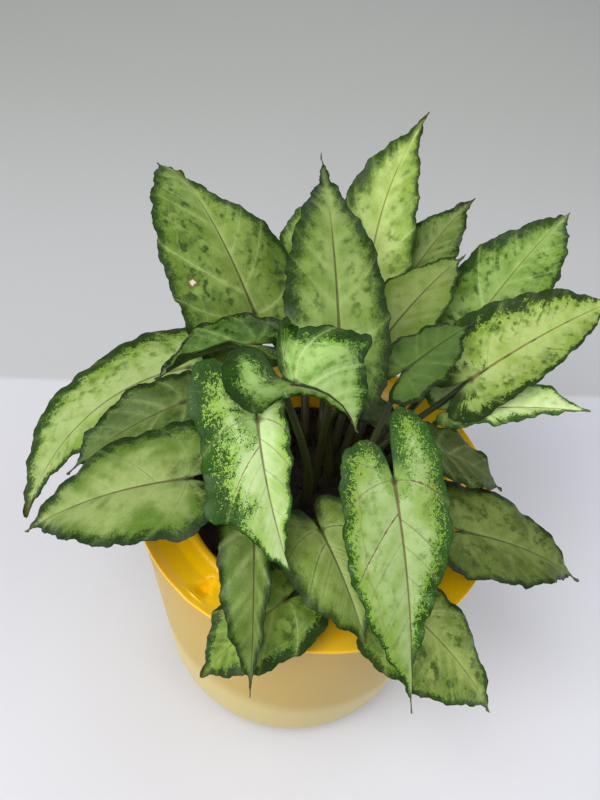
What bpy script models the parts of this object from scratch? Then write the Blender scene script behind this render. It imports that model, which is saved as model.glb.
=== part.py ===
"""A syngonium in a two-part self-watering pot.

The origin is the centre of the pot's underside, +Z is up, and the plant's
front is at -Y. Sizes below are in millimetres and degrees, and become metres
where the meshes are made.
"""

import math
from dataclasses import dataclass

import bpy
import numpy as np

MM = 0.001

# Outer pot: a frosted reservoir with a rounded foot
POT_HEIGHT = 115.0
POT_RADIUS = 66.0
POT_BASE_RADIUS = 52.0
POT_BASE_ROUND = 18.0
POT_BASE_STEPS = 5
OUTER_TOP_INSET = 0.6
OUTER_WALL = 1.8
OUTER_FLOOR = 2.2
OUTER_BANDS = (78.0, 42.0)
POT_SIDES = 45

# Insert: a wide collar that hangs on the outer pot's rim, and a cup for soil
FIT_GAP = 0.3
COLLAR_EDGE = 1.6
COLLAR_SKIRT = 1.5
COLLAR_VALLEY = 2.4
COLLAR_ROUND = 0.5
LIP_RADIUS = 50.0
LIP_PROFILE = ((-1.6, -0.9), (-0.6, -0.1), (0.5, -0.2), (1.8, -1.2))
CUP_TOP_RADIUS = 48.5
CUP_FLOOR_RADIUS = 37.0
CUP_FLOOR_HEIGHT = 44.0
CUP_WALL = 1.5

# Water inlet: a dent pressed into the collar at its front left
INLET_ANGLE = -123.0
INLET_HALF_WIDTH = 5.0
INLET_DEPTH = 4.0
INLET_RIM_DEPTH = 0.7
INLET_RADII = (53.0, 59.0, 62.0)
INLET_FACETS = (-4.8, -3.2, -1.6, 0.0, 1.6, 3.2, 4.8)

# Wick: hangs from the soil through the cup's floor into the water
WICK_RADIUS = 3.0
WICK_TOP = 78.0
WICK_FOOT = 3.4
WICK_SIDES = 12

# Soil
SOIL_EDGE_HEIGHT = 103.0
SOIL_CROWN = 3.0
SOIL_LUMP = 0.8
HOLE_DEPTH = 12.0
HOLE_GAP = 0.5
PETIOLE_RISE = 1.5
HOLE_SIDES = 6
SOIL_SIDES = 30

# Blades and petioles
BLADE_THICKNESS = 0.7
PETIOLE_FOOT_RADIUS = 1.5
PETIOLE_NECK_RADIUS = 1.0
RIB_END_RADIUS = 0.35
PETIOLE_SIDES = 5
PETIOLE_STEPS = 5
MIDRIB_SAMPLES = 161
LONGEST_LOBE = -0.9

# Half of a blade's outline. Each row joins a point on its spine to a point on
# its margin. Lengths behind the join are in lobe lengths, those in front of it
# in midrib lengths, and widths in half-widths. The first four rows lie along
# the slit between the two lobes.
SPINE = (
    (-0.80, 0.16),
    (-0.52, 0.08),
    (-0.27, 0.045),
    (-0.10, 0.02),
    (0.00, 0.00),
    (0.16, 0.00),
    (0.32, 0.00),
    (0.48, 0.00),
    (0.63, 0.00),
    (0.77, 0.00),
    (0.90, 0.00),
    (1.00, 0.00),
)
MARGIN = (
    (-0.92, 0.26),
    (-1.00, 0.48),
    (-0.82, 0.76),
    (-0.42, 0.94),
    (0.02, 1.00),
    (0.20, 0.99),
    (0.37, 0.91),
    (0.53, 0.75),
    (0.68, 0.51),
    (0.80, 0.26),
    (0.90, 0.075),
    (1.00, 0.00),
)
# A margin that stays wide and then draws in at once to a long thin tip
SQUARE_MARGIN = (
    (-0.92, 0.30),
    (-1.00, 0.62),
    (-0.86, 0.92),
    (-0.45, 1.02),
    (0.00, 0.95),
    (0.17, 0.90),
    (0.34, 0.94),
    (0.50, 0.98),
    (0.57, 0.62),
    (0.72, 0.40),
    (0.88, 0.16),
    (1.00, 0.00),
)
SLIT_ROWS = 4
COLUMNS = (0.0, 0.52, 1.0)
WAVES = 2.5
WAVE_HEIGHT = 0.9


@dataclass
class Leaf:
    """One leaf: its petiole's foot in the soil, and its blade's place and form.

    Left and right are seen from the join, looking towards the tip.
    """

    name: str
    foot: tuple  # x, y where the petiole leaves the soil
    join: tuple  # x, y, z where blade and petiole meet
    tip: tuple  # x, y, z of the blade's tip
    width: tuple  # left and right half
    lobe: tuple  # left and right lobe, behind the join
    roll: float = 0.0  # turn about the line from join to tip, left side up
    arch: float = 35.0  # bend along the midrib, tip down
    hook: float = 0.0  # extra bend close to the tip
    side: float = 0.0  # bend along the midrib, tip to the right
    drop: float = 20.0  # bend of the lobes, ends down
    sweep: float = 0.0  # turn of the lobes, ends to the left
    vee: tuple = (14.0, 14.0)  # rise of each half where it leaves the midrib
    cup: tuple = (-26.0, -26.0)  # bend of each half on its way to the margin
    fold: tuple = (0.0, 0.0)  # more rise of each half, in front of the join only
    taper: tuple = (1.0, 1.0)  # over 1 draws each front half in, under 1 fills it
    square: tuple = (False, False)  # each half's kind of margin
    back: tuple = (1.0, 1.0)  # each lobe's width against its own half
    meet: float = 55.0  # angle at which the petiole meets the blade
    lean: tuple = (0.0, 0.0)  # x, y bow of the petiole on its way up


LEAVES = (
    # Upper leaves, which point up and away at the back
    Leaf("leaf_back_left", (-13, 9), (-31, 25, 168), (-75, 75, 186), (25, 22), (17, 18),
         hook=40, taper=(0.7, 2.7)),
    Leaf("leaf_back_tall", (-1, 1), (-2, 2, 183), (-18, 77, 200), (17, 16), (17, 22),
         taper=(1.4, 1.6), arch=30),
    Leaf("leaf_back_high", (5, 21), (7, 60, 162), (19, 109, 206), (17, 15), (15, 15),
         side=28, taper=(1.0, 1.05), arch=20),
    Leaf("leaf_back_small", (13, 23), (21, 66, 158), (42, 92, 184), (13, 13), (12, 12)),
    Leaf("leaf_back_bright", (8, 12), (14, 31, 160), (41, 71, 173), (14, 13), (12, 12)),
    Leaf("leaf_back_right", (20, 16), (47, 50, 156), (84, 109, 174), (19, 18), (17, 16),
         taper=(1.0, 0.85)),
    Leaf("leaf_back_sliver", (-7, 22), (-20, 64, 162), (-19, 87, 178), (9, 9), (10, 10)),
    # Lower leaves at the back
    Leaf("leaf_rear_left", (-14, 18), (-34, 48, 144), (-62, 88, 112), (16, 16), (12, 12)),
    Leaf("leaf_rear_middle", (-1, 28), (-3, 66, 128), (0, 108, 98), (16, 16), (9, 9)),
    Leaf("leaf_rear_right", (20, 24), (41, 56, 128), (70, 90, 102), (15, 15), (9, 9)),
    # Leaves on the right
    Leaf("leaf_right_dark", (11, -5), (20, 3, 175), (44, 35, 172), (10, 11), (9, 12),
         arch=15, drop=40, taper=(1.0, 1.7), lean=(2, -2)),
    Leaf("leaf_right_large", (16, 4), (45, 19, 160), (99, 65, 168), (21, 15), (12, 13),
         roll=10, vee=(4, -25), cup=(-14, -30), taper=(0.7, 0.8), lean=(-8, -4)),
    Leaf("leaf_right_under", (22, 10), (41, 16, 146), (93, 27, 146), (15, 7), (7, 5),
         taper=(0.6, 1.2), arch=20, cup=(-26, -60)),
    Leaf("leaf_right_shade", (23, -2), (37, -3, 146), (65, 0, 126), (12, 11), (7, 7)),
    Leaf("leaf_right_low", (22, -14), (48, -26, 135), (98, -19, 106), (20, 17), (9, 9),
         taper=(1.0, 1.2)),
    # Leaves in front
    Leaf("leaf_front_right", (10, -14), (20, -33, 165), (37, -80, 116), (16, 18.5), (23, 13),
         taper=(3.0, 1.1), back=(1.0, 0.9)),
    Leaf("leaf_front_under", (14, -22), (30, -50, 126), (69, -65, 90), (15, 20), (10, 8),
         vee=(14, -5), cup=(-26, -30)),
    Leaf("leaf_front_left", (-8, -13), (-22, -31, 180), (-5, -59, 147), (9, 19), (12, 16),
         square=(False, True), side=-20, arch=20, taper=(1.6, 1.0)),
    Leaf("leaf_front_middle", (1, -18), (2, -39, 142), (20, -68, 131), (14, 17), (12, 12),
         taper=(1.0, 0.7)),
    Leaf("leaf_front_folded", (-9, -22), (-18, -45, 145), (-11, -82, 112), (9, 11), (8, 8),
         taper=(1.2, 1.1), fold=(60, 0), arch=45),
    Leaf("leaf_front_low", (-3, -27), (-5, -55, 125), (-27, -76, 106), (16, 14), (9, 9),
         taper=(0.8, 0.8), cup=(-45, -26), arch=45),
    # Leaves in the middle
    Leaf("leaf_middle_curled", (-4, -7), (-13, -31, 197), (7, -20, 169), (20, 9), (15, 19),
         square=(True, False), arch=15, side=45, vee=(-40, -65), cup=(15, 40), fold=(30, -15),
         roll=65, drop=-15, sweep=60, taper=(0.8, 1.5), back=(0.8, 1.8), meet=100, lean=(6, -6)),
    Leaf("leaf_middle_dark", (4, 9), (6, 9, 150), (27, 5, 140), (10, 6), (6, 6)),
    # Leaves on the left
    Leaf("leaf_left_rolled", (-14, 0), (-28, 2, 176), (-57, -6, 161), (10, 14), (15, 15),
         fold=(50, 0), arch=55),
    Leaf("leaf_left_upper", (-22, 6), (-51, 15, 147), (-98, -31, 107), (14, 19), (14, 16),
         side=-60, taper=(1.0, 0.7)),
    Leaf("leaf_left_lower", (-20, -14), (-40, -38, 156), (-91, -45, 122), (21, 22), (9, 13),
         taper=(1.0, 0.85), lean=(-4, 4)),
    Leaf("leaf_left_between", (-24, -4), (-49, -4, 150), (-84, -24, 127), (12, 12), (12, 12),
         fold=(0, 20)),
)


def unit(vector):
    return vector / np.linalg.norm(vector)


def midrib(leaf):
    """The midrib as a curve with its own frame, in the leaf's flat length.

    Returns the stations s (0 at the join, 1 at the tip, below 0 in the lobes),
    the points, the tangents, the sideways and the upward directions, all in
    world millimetres, and the midrib's real length.
    """
    s = np.linspace(LONGEST_LOBE, 1.0, MIDRIB_SAMPLES)
    ahead = np.clip(s, 0.0, 1.0)
    behind = np.clip(-s, 0.0, 1.0)
    pitch = -leaf.arch * ahead - leaf.hook * ahead ** 4 + leaf.drop * behind / 0.35
    pitch = np.radians(pitch)
    heading = np.radians(-leaf.side * s - leaf.sweep * np.clip(behind / 0.25, 0.0, 1.0))
    tangent = np.stack(
        [np.cos(pitch) * np.cos(heading), np.cos(pitch) * np.sin(heading), np.sin(pitch)], axis=1
    )
    side = np.stack([-np.sin(heading), np.cos(heading), np.zeros_like(s)], axis=1)
    up = np.cross(tangent, side)
    step = s[1] - s[0]
    point = np.cumsum(tangent, axis=0) * step
    join = np.array([np.interp(0.0, s, point[:, axis]) for axis in range(3)])
    point = point - join
    # Turn the curve so that it runs from the join to the tip in a straight line
    chord = point[-1]
    ahead_axis = unit(chord)
    up_axis = unit(np.array([0.0, 0.0, 1.0]) - ahead_axis * ahead_axis[2])
    own = np.stack([ahead_axis, np.cross(up_axis, ahead_axis), up_axis])
    world_chord = np.array(leaf.tip, float) - np.array(leaf.join, float)
    e1 = unit(world_chord)
    level = unit(np.array([0.0, 0.0, 1.0]) - e1 * e1[2])
    across = np.cross(level, e1)
    roll = math.radians(leaf.roll)
    e3 = math.cos(roll) * level - math.sin(roll) * across
    e2 = np.cross(e3, e1)
    turn = own.T @ np.stack([e1, e2, e3])
    length = np.linalg.norm(world_chord) / np.linalg.norm(chord)
    point = point @ turn * length + np.array(leaf.join, float)
    tangent = tangent @ turn
    side = side @ turn
    up = up @ turn
    return s, point, tangent, side, up, length


def on_blade(leaf, rib, along, across, edge):
    """World points of the blade for flat lengths along and across the midrib.

    along and across are in millimetres, edge is 0 on the spine and 1 on the
    margin, and all three are arrays of one shape.
    """
    s, point, tangent, side, up, length = rib
    at = along / length
    left = across >= 0.0
    half = np.where(left, leaf.width[0], leaf.width[1])
    vee = np.radians(np.where(left, leaf.vee[0], leaf.vee[1]))
    cup = np.radians(np.where(left, leaf.cup[0], leaf.cup[1]))
    cup = np.where(np.abs(cup) < 1e-3, 1e-3, cup)
    front = np.clip((at + 0.15) / 0.35, 0.0, 1.0)
    vee = vee + np.radians(np.where(left, leaf.fold[0], leaf.fold[1])) * front
    slope = vee + cup * np.abs(across) / half
    out = (np.sin(slope) - np.sin(vee)) * half / cup
    rise = (np.cos(vee) - np.cos(slope)) * half / cup
    start = leaf.foot[0] + np.where(left, 0.0, 2.0)
    ripple = np.sin(2.0 * math.pi * WAVES * at + start)
    rise = rise + WAVE_HEIGHT * ripple * edge ** 2
    place = [np.interp(at, s, point[:, axis]) for axis in range(3)]
    sideways = [np.interp(at, s, side[:, axis]) for axis in range(3)]
    upward = [np.interp(at, s, up[:, axis]) for axis in range(3)]
    out = np.where(left, out, -out)
    return np.stack([place[a] + sideways[a] * out + upward[a] * rise for a in range(3)], axis=-1)


def half_grid(leaf, rib, left):
    """World points of one half of the blade, one row for each outline point."""
    length = rib[-1]
    hand = 0 if left else 1
    sign = 1.0 if left else -1.0
    spine = np.array(SPINE)
    margin = np.array(SQUARE_MARGIN if leaf.square[hand] else MARGIN)
    edge = np.array(COLUMNS)[None, :]

    def flat(outline):
        x = np.where(outline[:, 0] < 0.0, outline[:, 0] * leaf.lobe[hand], outline[:, 0] * length)
        front = outline[:, 0] > 0.0
        y = np.where(front, outline[:, 1] ** leaf.taper[hand], outline[:, 1]) * leaf.width[hand]
        y = y * (1.0 + (leaf.back[hand] - 1.0) * np.clip(1.0 - outline[:, 0] / 0.3, 0.0, 1.0))
        return x[:, None], y[:, None]

    spine_x, spine_y = flat(spine)
    margin_x, margin_y = flat(margin)
    along = spine_x + (margin_x - spine_x) * edge
    across = sign * (spine_y + (margin_y - spine_y) * edge)
    across = np.where(np.abs(across) < 1e-6, sign * 1e-6, across)
    return on_blade(leaf, rib, along, across, np.broadcast_to(edge, along.shape))


def blade_mesh(leaf, rib):
    """The blade as a closed sheet with the same triangles on both faces."""
    last = len(SPINE) - 1
    columns = len(COLUMNS)
    points = []
    index = {}
    for hand, left in enumerate((True, False)):
        grid = half_grid(leaf, rib, left)
        for row in range(last + 1):
            for column in range(columns):
                if row == last:
                    key = "tip"
                elif column == 0 and row >= SLIT_ROWS:
                    key = ("rib", row)
                else:
                    key = (hand, row, column)
                if key not in index:
                    index[key] = len(points)
                    points.append(grid[row, column])
                index[(hand, row, column)] = index[key]
    triangles = []
    rim = []
    for hand in range(2):
        flip = hand == 1

        def add(a, b, c):
            triangles.append((a, c, b) if flip else (a, b, c))

        def add_rim(a, b):
            rim.append((b, a) if flip else (a, b))

        for row in range(last):
            for column in range(columns - 1):
                a = index[(hand, row, column)]
                b = index[(hand, row + 1, column)]
                c = index[(hand, row + 1, column + 1)]
                d = index[(hand, row, column + 1)]
                add(a, b, d)
                if row < last - 1:
                    add(b, c, d)
            add_rim(index[(hand, row + 1, columns - 1)], index[(hand, row, columns - 1)])
        for column in range(columns - 1):
            add_rim(index[(hand, 0, column + 1)], index[(hand, 0, column)])
        for row in range(SLIT_ROWS):
            add_rim(index[(hand, row, 0)], index[(hand, row + 1, 0)])
    points = np.array(points)
    triangles = np.array(triangles)
    facing = np.zeros_like(points)
    corner = points[triangles]
    area = np.cross(corner[:, 1] - corner[:, 0], corner[:, 2] - corner[:, 0])
    for which in range(3):
        np.add.at(facing, triangles[:, which], area)
    facing /= np.linalg.norm(facing, axis=1)[:, None]
    if np.sum(facing @ rib[4][-1]) < 0.0:
        raise ValueError(leaf.name + " faces down")
    count = len(points)
    both = np.concatenate([points + facing * BLADE_THICKNESS / 2, points - facing * BLADE_THICKNESS / 2])
    faces = [tuple(t) for t in triangles]
    faces += [(a + count, c + count, b + count) for a, b, c in triangles]
    for a, b in rim:
        faces.append((a, b + count, b))
        faces.append((a, a + count, b + count))
    return both, faces


def petiole_path(leaf, rib):
    """Points and radii from the foot in the soil, up to the blade and along its rib."""
    s, point, tangent, side, up, length = rib
    level = soil_height(*leaf.foot)
    foot = np.array([*leaf.foot, level + PETIOLE_RISE])

    def under(at, depth):
        place = np.array([np.interp(at, s, point[:, a]) for a in range(3)])
        away = np.array([np.interp(at, s, up[:, a]) for a in range(3)])
        return place - away * depth

    neck = under(0.0, PETIOLE_NECK_RADIUS)
    forward = np.array([np.interp(0.0, s, tangent[:, a]) for a in range(3)])
    upward = np.array([np.interp(0.0, s, up[:, a]) for a in range(3)])
    meet = math.radians(leaf.meet)
    arrive = forward * math.cos(meet) + upward * math.sin(meet)
    reach = np.linalg.norm(neck - foot) * 0.38
    bow = np.array([leaf.lean[0], leaf.lean[1], 0.0])
    first = foot + np.array([0.0, 0.0, reach]) + bow
    second = neck - arrive * reach + bow
    path = [np.array([*leaf.foot, level - HOLE_DEPTH + FIT_GAP]), foot]
    radii = [PETIOLE_FOOT_RADIUS, PETIOLE_FOOT_RADIUS]
    for k in range(1, PETIOLE_STEPS + 1):
        t = k / PETIOLE_STEPS
        r = 1.0 - t
        place = foot * r ** 3 + first * 3 * r * r * t + second * 3 * r * t * t + neck * t ** 3
        path.append(place)
        radii.append(PETIOLE_FOOT_RADIUS + (PETIOLE_NECK_RADIUS - PETIOLE_FOOT_RADIUS) * t)
    for at, radius in ((0.08, 0.85), (0.22, 0.6), (0.38, RIB_END_RADIUS)):
        path.append(under(at, radius - BLADE_THICKNESS / 4))
        radii.append(radius)
    return np.array(path), np.array(radii)


def tube_mesh(path, radii, sides):
    """A closed tube round a path, with a flat cap at each end."""
    count = len(path)
    step = np.diff(path, axis=0)
    step /= np.linalg.norm(step, axis=1)[:, None]
    tangent = np.concatenate([step[:1], step[:-1] + step[1:], step[-1:]])
    tangent /= np.linalg.norm(tangent, axis=1)[:, None]
    across = np.cross(tangent[0], [0.0, 1.0, 0.0])
    points = []
    for k in range(count):
        across = across - tangent[k] * (across @ tangent[k])
        across = unit(across)
        second = np.cross(tangent[k], across)
        for side in range(sides):
            turn = 2.0 * math.pi * side / sides
            points.append(path[k] + radii[k] * (across * math.cos(turn) + second * math.sin(turn)))
    faces = []
    for k in range(count - 1):
        for side in range(sides):
            a = k * sides + side
            b = k * sides + (side + 1) % sides
            faces.append((a, b, b + sides, a + sides))
    faces.append(tuple(reversed(range(sides))))
    faces.append(tuple(range((count - 1) * sides, count * sides)))
    return np.array(points), faces


def new_object(name, points, faces, material=None):
    mesh = bpy.data.meshes.new(name)
    mesh.from_pydata([tuple(p * MM) for p in points], [], faces)
    mesh.update()
    thing = bpy.data.objects.new(name, mesh)
    bpy.context.scene.collection.objects.link(thing)
    if material:
        mesh.materials.append(material)
    return thing


def make_material(name, colour, roughness):
    material = bpy.data.materials.new(name)
    material.use_nodes = True
    shader = material.node_tree.nodes["Principled BSDF"]
    shader.inputs["Base Color"].default_value = (*colour, 1.0)
    shader.inputs["Roughness"].default_value = roughness
    shader.inputs["Metallic"].default_value = 0.0
    material.diffuse_color = (*colour, 1.0)
    return material


def boolean(thing, other, operation):
    """Joins or cuts with another object, and keeps that object as a guide."""
    other.hide_render = True
    other.display_type = "WIRE"
    modifier = thing.modifiers.new(operation.lower(), "BOOLEAN")
    modifier.operation = operation
    modifier.object = other
    modifier.solver = "EXACT"
    return modifier


def even_angles(sides):
    return [360.0 * side / sides for side in range(sides)]


def turned(name, profile, material, angles, dent=None, capped=()):
    """A solid turned about the pot's axis from a closed profile of (radius, height).

    The profile runs down the outside and up the inside. A point at radius 0
    becomes one point on the axis, or at a height in capped it has none, and one
    flat face closes the ring beside it. dent(angle, radius, height) moves a point.
    """
    sides = len(angles)
    rings = []
    points = []
    for radius, height in profile:
        if radius == 0.0 and height in capped:
            rings.append(None)
            continue
        if radius == 0.0:
            rings.append([len(points)] * sides)
            points.append(np.array([0.0, 0.0, height]))
            continue
        ring = []
        for angle in angles:
            turn = math.radians(angle)
            place = np.array([radius * math.cos(turn), radius * math.sin(turn), height])
            if dent:
                place = place + dent(angle, radius, height)
            ring.append(len(points))
            points.append(place)
        rings.append(ring)
    faces = []
    for k, ring in enumerate(rings):
        below = rings[(k + 1) % len(rings)]
        if ring is None or below is None:
            if ring:
                faces.append(tuple(reversed(ring)))
            if below:
                faces.append(tuple(below))
            continue
        for side in range(sides):
            after = (side + 1) % sides
            corners = [ring[side], below[side], below[after], ring[after]]
            face = [c for n, c in enumerate(corners) if c not in corners[:n]]
            if len(face) > 2:
                faces.append(tuple(face))
    thing = new_object(name, points, faces, material)
    thing.data.shade_smooth()
    thing.data.set_sharp_from_angle(angle=math.radians(35))
    return thing


def outer_radius(height):
    """The outer pot's outside radius at a height above its rounded foot."""
    top = POT_RADIUS - OUTER_TOP_INSET
    return POT_BASE_RADIUS + (top - POT_BASE_RADIUS) * height / POT_HEIGHT


def outer_pot(material):
    rim = POT_HEIGHT - COLLAR_EDGE - FIT_GAP
    profile = [(outer_radius(rim), rim)]
    for height in OUTER_BANDS:
        profile.append((outer_radius(height), height))
    for k in range(POT_BASE_STEPS + 1):
        turn = 0.5 * math.pi * k / POT_BASE_STEPS
        radius = outer_radius(POT_BASE_ROUND) - POT_BASE_ROUND * (1.0 - math.cos(turn))
        profile.append((radius, POT_BASE_ROUND * (1.0 - math.sin(turn))))
    profile.append((0.0, 0.0))
    profile.append((0.0, OUTER_FLOOR))
    inside = POT_BASE_ROUND - OUTER_WALL
    for k in reversed(range(POT_BASE_STEPS)):
        turn = 0.5 * math.pi * k / POT_BASE_STEPS
        radius = outer_radius(POT_BASE_ROUND) - OUTER_WALL - inside * (1.0 - math.cos(turn))
        profile.append((radius, OUTER_FLOOR + inside * (1.0 - math.sin(turn))))
    for height in reversed(OUTER_BANDS):
        profile.append((outer_radius(height) - OUTER_WALL, height))
    profile.append((outer_radius(rim) - OUTER_WALL, rim))
    return turned("outer_pot", profile, material, even_angles(POT_SIDES), capped=(0.0, OUTER_FLOOR))


def inlet_dent(angle, radius, height):
    """Presses the collar down in a wedge that widens towards the rim."""
    start, deepest, outer = INLET_RADII
    if radius <= start or height < POT_HEIGHT - 8.0:
        return np.zeros(3)
    if radius > POT_RADIUS - OUTER_WALL - 1.2 and height < POT_HEIGHT - 1.0:
        return np.zeros(3)
    offset = math.radians((angle - INLET_ANGLE + 180.0) % 360.0 - 180.0) * radius
    outward = min(1.0, (radius - start) / (outer - start))
    reach = min(1.0, abs(offset) / (INLET_HALF_WIDTH * outward))
    depth = np.interp(radius, INLET_RADII, (0.0, INLET_DEPTH, INLET_RIM_DEPTH))
    down = depth * (1.0 - reach)
    inwards = 0.15 * down if radius < outer + 1.0 else 0.0
    turn = math.radians(angle)
    return np.array([-inwards * math.cos(turn), -inwards * math.sin(turn), -down])


def inner_pot(material):
    top = POT_HEIGHT
    seat = top - COLLAR_EDGE
    skirt = outer_radius(seat) - OUTER_WALL - FIT_GAP
    floor = CUP_FLOOR_HEIGHT
    profile = [
        (POT_RADIUS - COLLAR_ROUND, top),
        (POT_RADIUS, top - COLLAR_ROUND),
        (POT_RADIUS, seat),
        (skirt, seat),
        (skirt - 0.2, seat - COLLAR_SKIRT),
        (skirt - 1.6, seat - COLLAR_SKIRT),
        (INLET_RADII[1], top - COLLAR_VALLEY - 1.2),
        (CUP_TOP_RADIUS + 1.0, top - COLLAR_VALLEY - 3.2),
        (CUP_FLOOR_RADIUS + CUP_WALL, floor + 2.0),
        (CUP_FLOOR_RADIUS, floor - CUP_WALL),
        (WICK_RADIUS + FIT_GAP, floor - CUP_WALL),
        (WICK_RADIUS + FIT_GAP, floor),
        (CUP_FLOOR_RADIUS - 1.0, floor),
        (CUP_FLOOR_RADIUS, floor + 2.0),
        (CUP_TOP_RADIUS - CUP_WALL, top - 5.0),
        *[(LIP_RADIUS + out, top + rise) for out, rise in LIP_PROFILE],
        (LIP_RADIUS + 6.0, top - COLLAR_VALLEY + 0.2),
        (INLET_RADII[1], top - COLLAR_VALLEY + 0.6),
        (POT_RADIUS - 4.0, top - COLLAR_VALLEY + 1.0),
    ]
    spacing = 360.0 / POT_SIDES
    near = INLET_FACETS[-1] + 0.3 * spacing
    angles = [a for a in even_angles(POT_SIDES) if abs((a - INLET_ANGLE + 180.0) % 360.0 - 180.0) > near]
    angles += [(INLET_ANGLE + a) % 360.0 for a in INLET_FACETS]
    return turned("inner_pot", profile, material, sorted(angles), inlet_dent)


def soil_radius(height):
    """The soil's radius inside the cup at a height."""
    low = CUP_FLOOR_HEIGHT + 2.0
    share = (height - low) / (POT_HEIGHT - 5.0 - low)
    wall = CUP_FLOOR_RADIUS + (CUP_TOP_RADIUS - CUP_WALL - CUP_FLOOR_RADIUS) * share
    return wall - FIT_GAP


def soil_height(x, y):
    """The soil's surface: a low crown with small lumps."""
    radius = min(1.0, math.hypot(x, y) / soil_radius(SOIL_EDGE_HEIGHT))
    lumps = math.sin(0.31 * x + 1.0) * math.sin(0.27 * y + 0.4) + 0.6 * math.sin(0.22 * (x - y))
    return SOIL_EDGE_HEIGHT + SOIL_CROWN * (1.0 - radius ** 2) + SOIL_LUMP * lumps * (1.0 - radius ** 4)


def soil(material):
    """The soil fills the cup, with a plain hole for each petiole and for the wick."""
    floor = CUP_FLOOR_HEIGHT + FIT_GAP
    profile = [(0.0, SOIL_EDGE_HEIGHT)]
    for radius in (13.0, 25.0, 36.0):
        profile.append((radius, SOIL_EDGE_HEIGHT))
    profile += [
        (soil_radius(SOIL_EDGE_HEIGHT), SOIL_EDGE_HEIGHT),
        (soil_radius(CUP_FLOOR_HEIGHT + 2.5), CUP_FLOOR_HEIGHT + 2.5),
        (CUP_FLOOR_RADIUS - 1.6, floor),
        (0.0, floor),
    ]
    thing = turned("soil", profile, material, even_angles(SOIL_SIDES))
    mesh = thing.data
    for vertex in mesh.vertices:
        if vertex.co.z > (SOIL_EDGE_HEIGHT - 0.1) * MM:
            vertex.co.z = soil_height(vertex.co.x / MM, vertex.co.y / MM) * MM
    mesh.update()
    points = []
    faces = []
    cuts = [(leaf.foot, soil_height(*leaf.foot) - HOLE_DEPTH, POT_HEIGHT) for leaf in LEAVES]
    radii = [PETIOLE_FOOT_RADIUS + HOLE_GAP] * len(cuts)
    cuts.append(((0.0, 0.0), floor - 5.0, WICK_TOP + FIT_GAP))
    radii.append((WICK_RADIUS + FIT_GAP) / math.cos(math.pi / WICK_SIDES))
    for (place, low, high), radius in zip(cuts, radii):
        path = np.array([[*place, low], [*place, high]])
        hole_sides = WICK_SIDES if place == (0.0, 0.0) else HOLE_SIDES
        ring, ring_faces = tube_mesh(path, np.array([radius, radius]), hole_sides)
        start = len(points)
        points += list(ring)
        faces += [tuple(start + i for i in face) for face in ring_faces]
    holes = new_object("soil_holes", points, faces)
    boolean(thing, holes, "DIFFERENCE")
    return thing


def wick(material):
    path = np.array([[0.0, 0.0, WICK_FOOT], [0.0, 0.0, WICK_TOP]])
    points, faces = tube_mesh(path, np.array([WICK_RADIUS, WICK_RADIUS]), WICK_SIDES)
    return new_object("wick", points, faces, material)


def leaf_object(leaf, material):
    """A blade with its petiole and rib fused to it."""
    rib = midrib(leaf)
    points, faces = blade_mesh(leaf, rib)
    blade = new_object(leaf.name, points, faces, material)
    path, radii = petiole_path(leaf, rib)
    points, faces = tube_mesh(path, radii, PETIOLE_SIDES)
    petiole = new_object(leaf.name + "_petiole", points, faces)
    boolean(blade, petiole, "UNION")
    blade.data.shade_smooth()
    blade.data.set_sharp_from_angle(angle=math.radians(50))
    return blade


def clear_scene():
    for thing in list(bpy.data.objects):
        bpy.data.objects.remove(thing, do_unlink=True)


def main():
    clear_scene()
    outer_pot(make_material("frosted plastic", (0.78, 0.68, 0.45), 0.45))
    inner_pot(make_material("yellow plastic", (0.85, 0.55, 0.01), 0.3))
    soil(make_material("soil", (0.02, 0.014, 0.009), 0.95))
    wick(make_material("cotton", (0.75, 0.72, 0.65), 0.9))
    for leaf in LEAVES:
        leaf_object(leaf, make_material(leaf.name, (0.27, 0.45, 0.13), 0.5))


main()
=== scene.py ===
"""Looks of a syngonium in a two-part self-watering pot.

Shapes are in millimetres and degrees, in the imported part's frame: the origin
is the centre of the pot's underside, +Z is up, and the plant's front is at -Y.
"""

import math
from dataclasses import dataclass, replace
from itertools import combinations

import bpy
import numpy as np
from mathutils import Matrix, Vector


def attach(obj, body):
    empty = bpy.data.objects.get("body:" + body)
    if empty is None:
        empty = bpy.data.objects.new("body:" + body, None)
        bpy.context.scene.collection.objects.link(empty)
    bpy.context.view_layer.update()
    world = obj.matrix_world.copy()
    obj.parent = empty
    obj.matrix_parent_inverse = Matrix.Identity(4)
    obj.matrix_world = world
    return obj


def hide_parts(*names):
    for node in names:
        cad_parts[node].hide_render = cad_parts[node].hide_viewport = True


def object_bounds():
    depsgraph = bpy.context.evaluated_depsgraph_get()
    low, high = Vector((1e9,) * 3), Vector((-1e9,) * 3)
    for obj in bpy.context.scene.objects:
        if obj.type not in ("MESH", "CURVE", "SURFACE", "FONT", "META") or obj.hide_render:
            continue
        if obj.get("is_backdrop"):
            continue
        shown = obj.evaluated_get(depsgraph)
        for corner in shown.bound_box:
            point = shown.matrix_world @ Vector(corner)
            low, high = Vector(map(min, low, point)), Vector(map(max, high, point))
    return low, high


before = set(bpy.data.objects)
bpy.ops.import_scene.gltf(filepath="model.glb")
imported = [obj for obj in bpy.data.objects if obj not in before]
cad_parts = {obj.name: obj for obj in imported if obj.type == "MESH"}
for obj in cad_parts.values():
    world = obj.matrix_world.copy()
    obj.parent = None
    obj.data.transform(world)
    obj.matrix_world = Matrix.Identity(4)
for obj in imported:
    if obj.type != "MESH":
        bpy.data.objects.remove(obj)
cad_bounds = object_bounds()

MM = 0.001

# Camera
CAMERA_PLACE = (-11.0, -175.8, 351.1)
CAMERA_DOWN = 47.9
CAMERA_ROLL = 9.5
CAMERA_LENS = 36.0
CAMERA_SENSOR = 36.0
CAMERA_NEAR = 10.0

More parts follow.
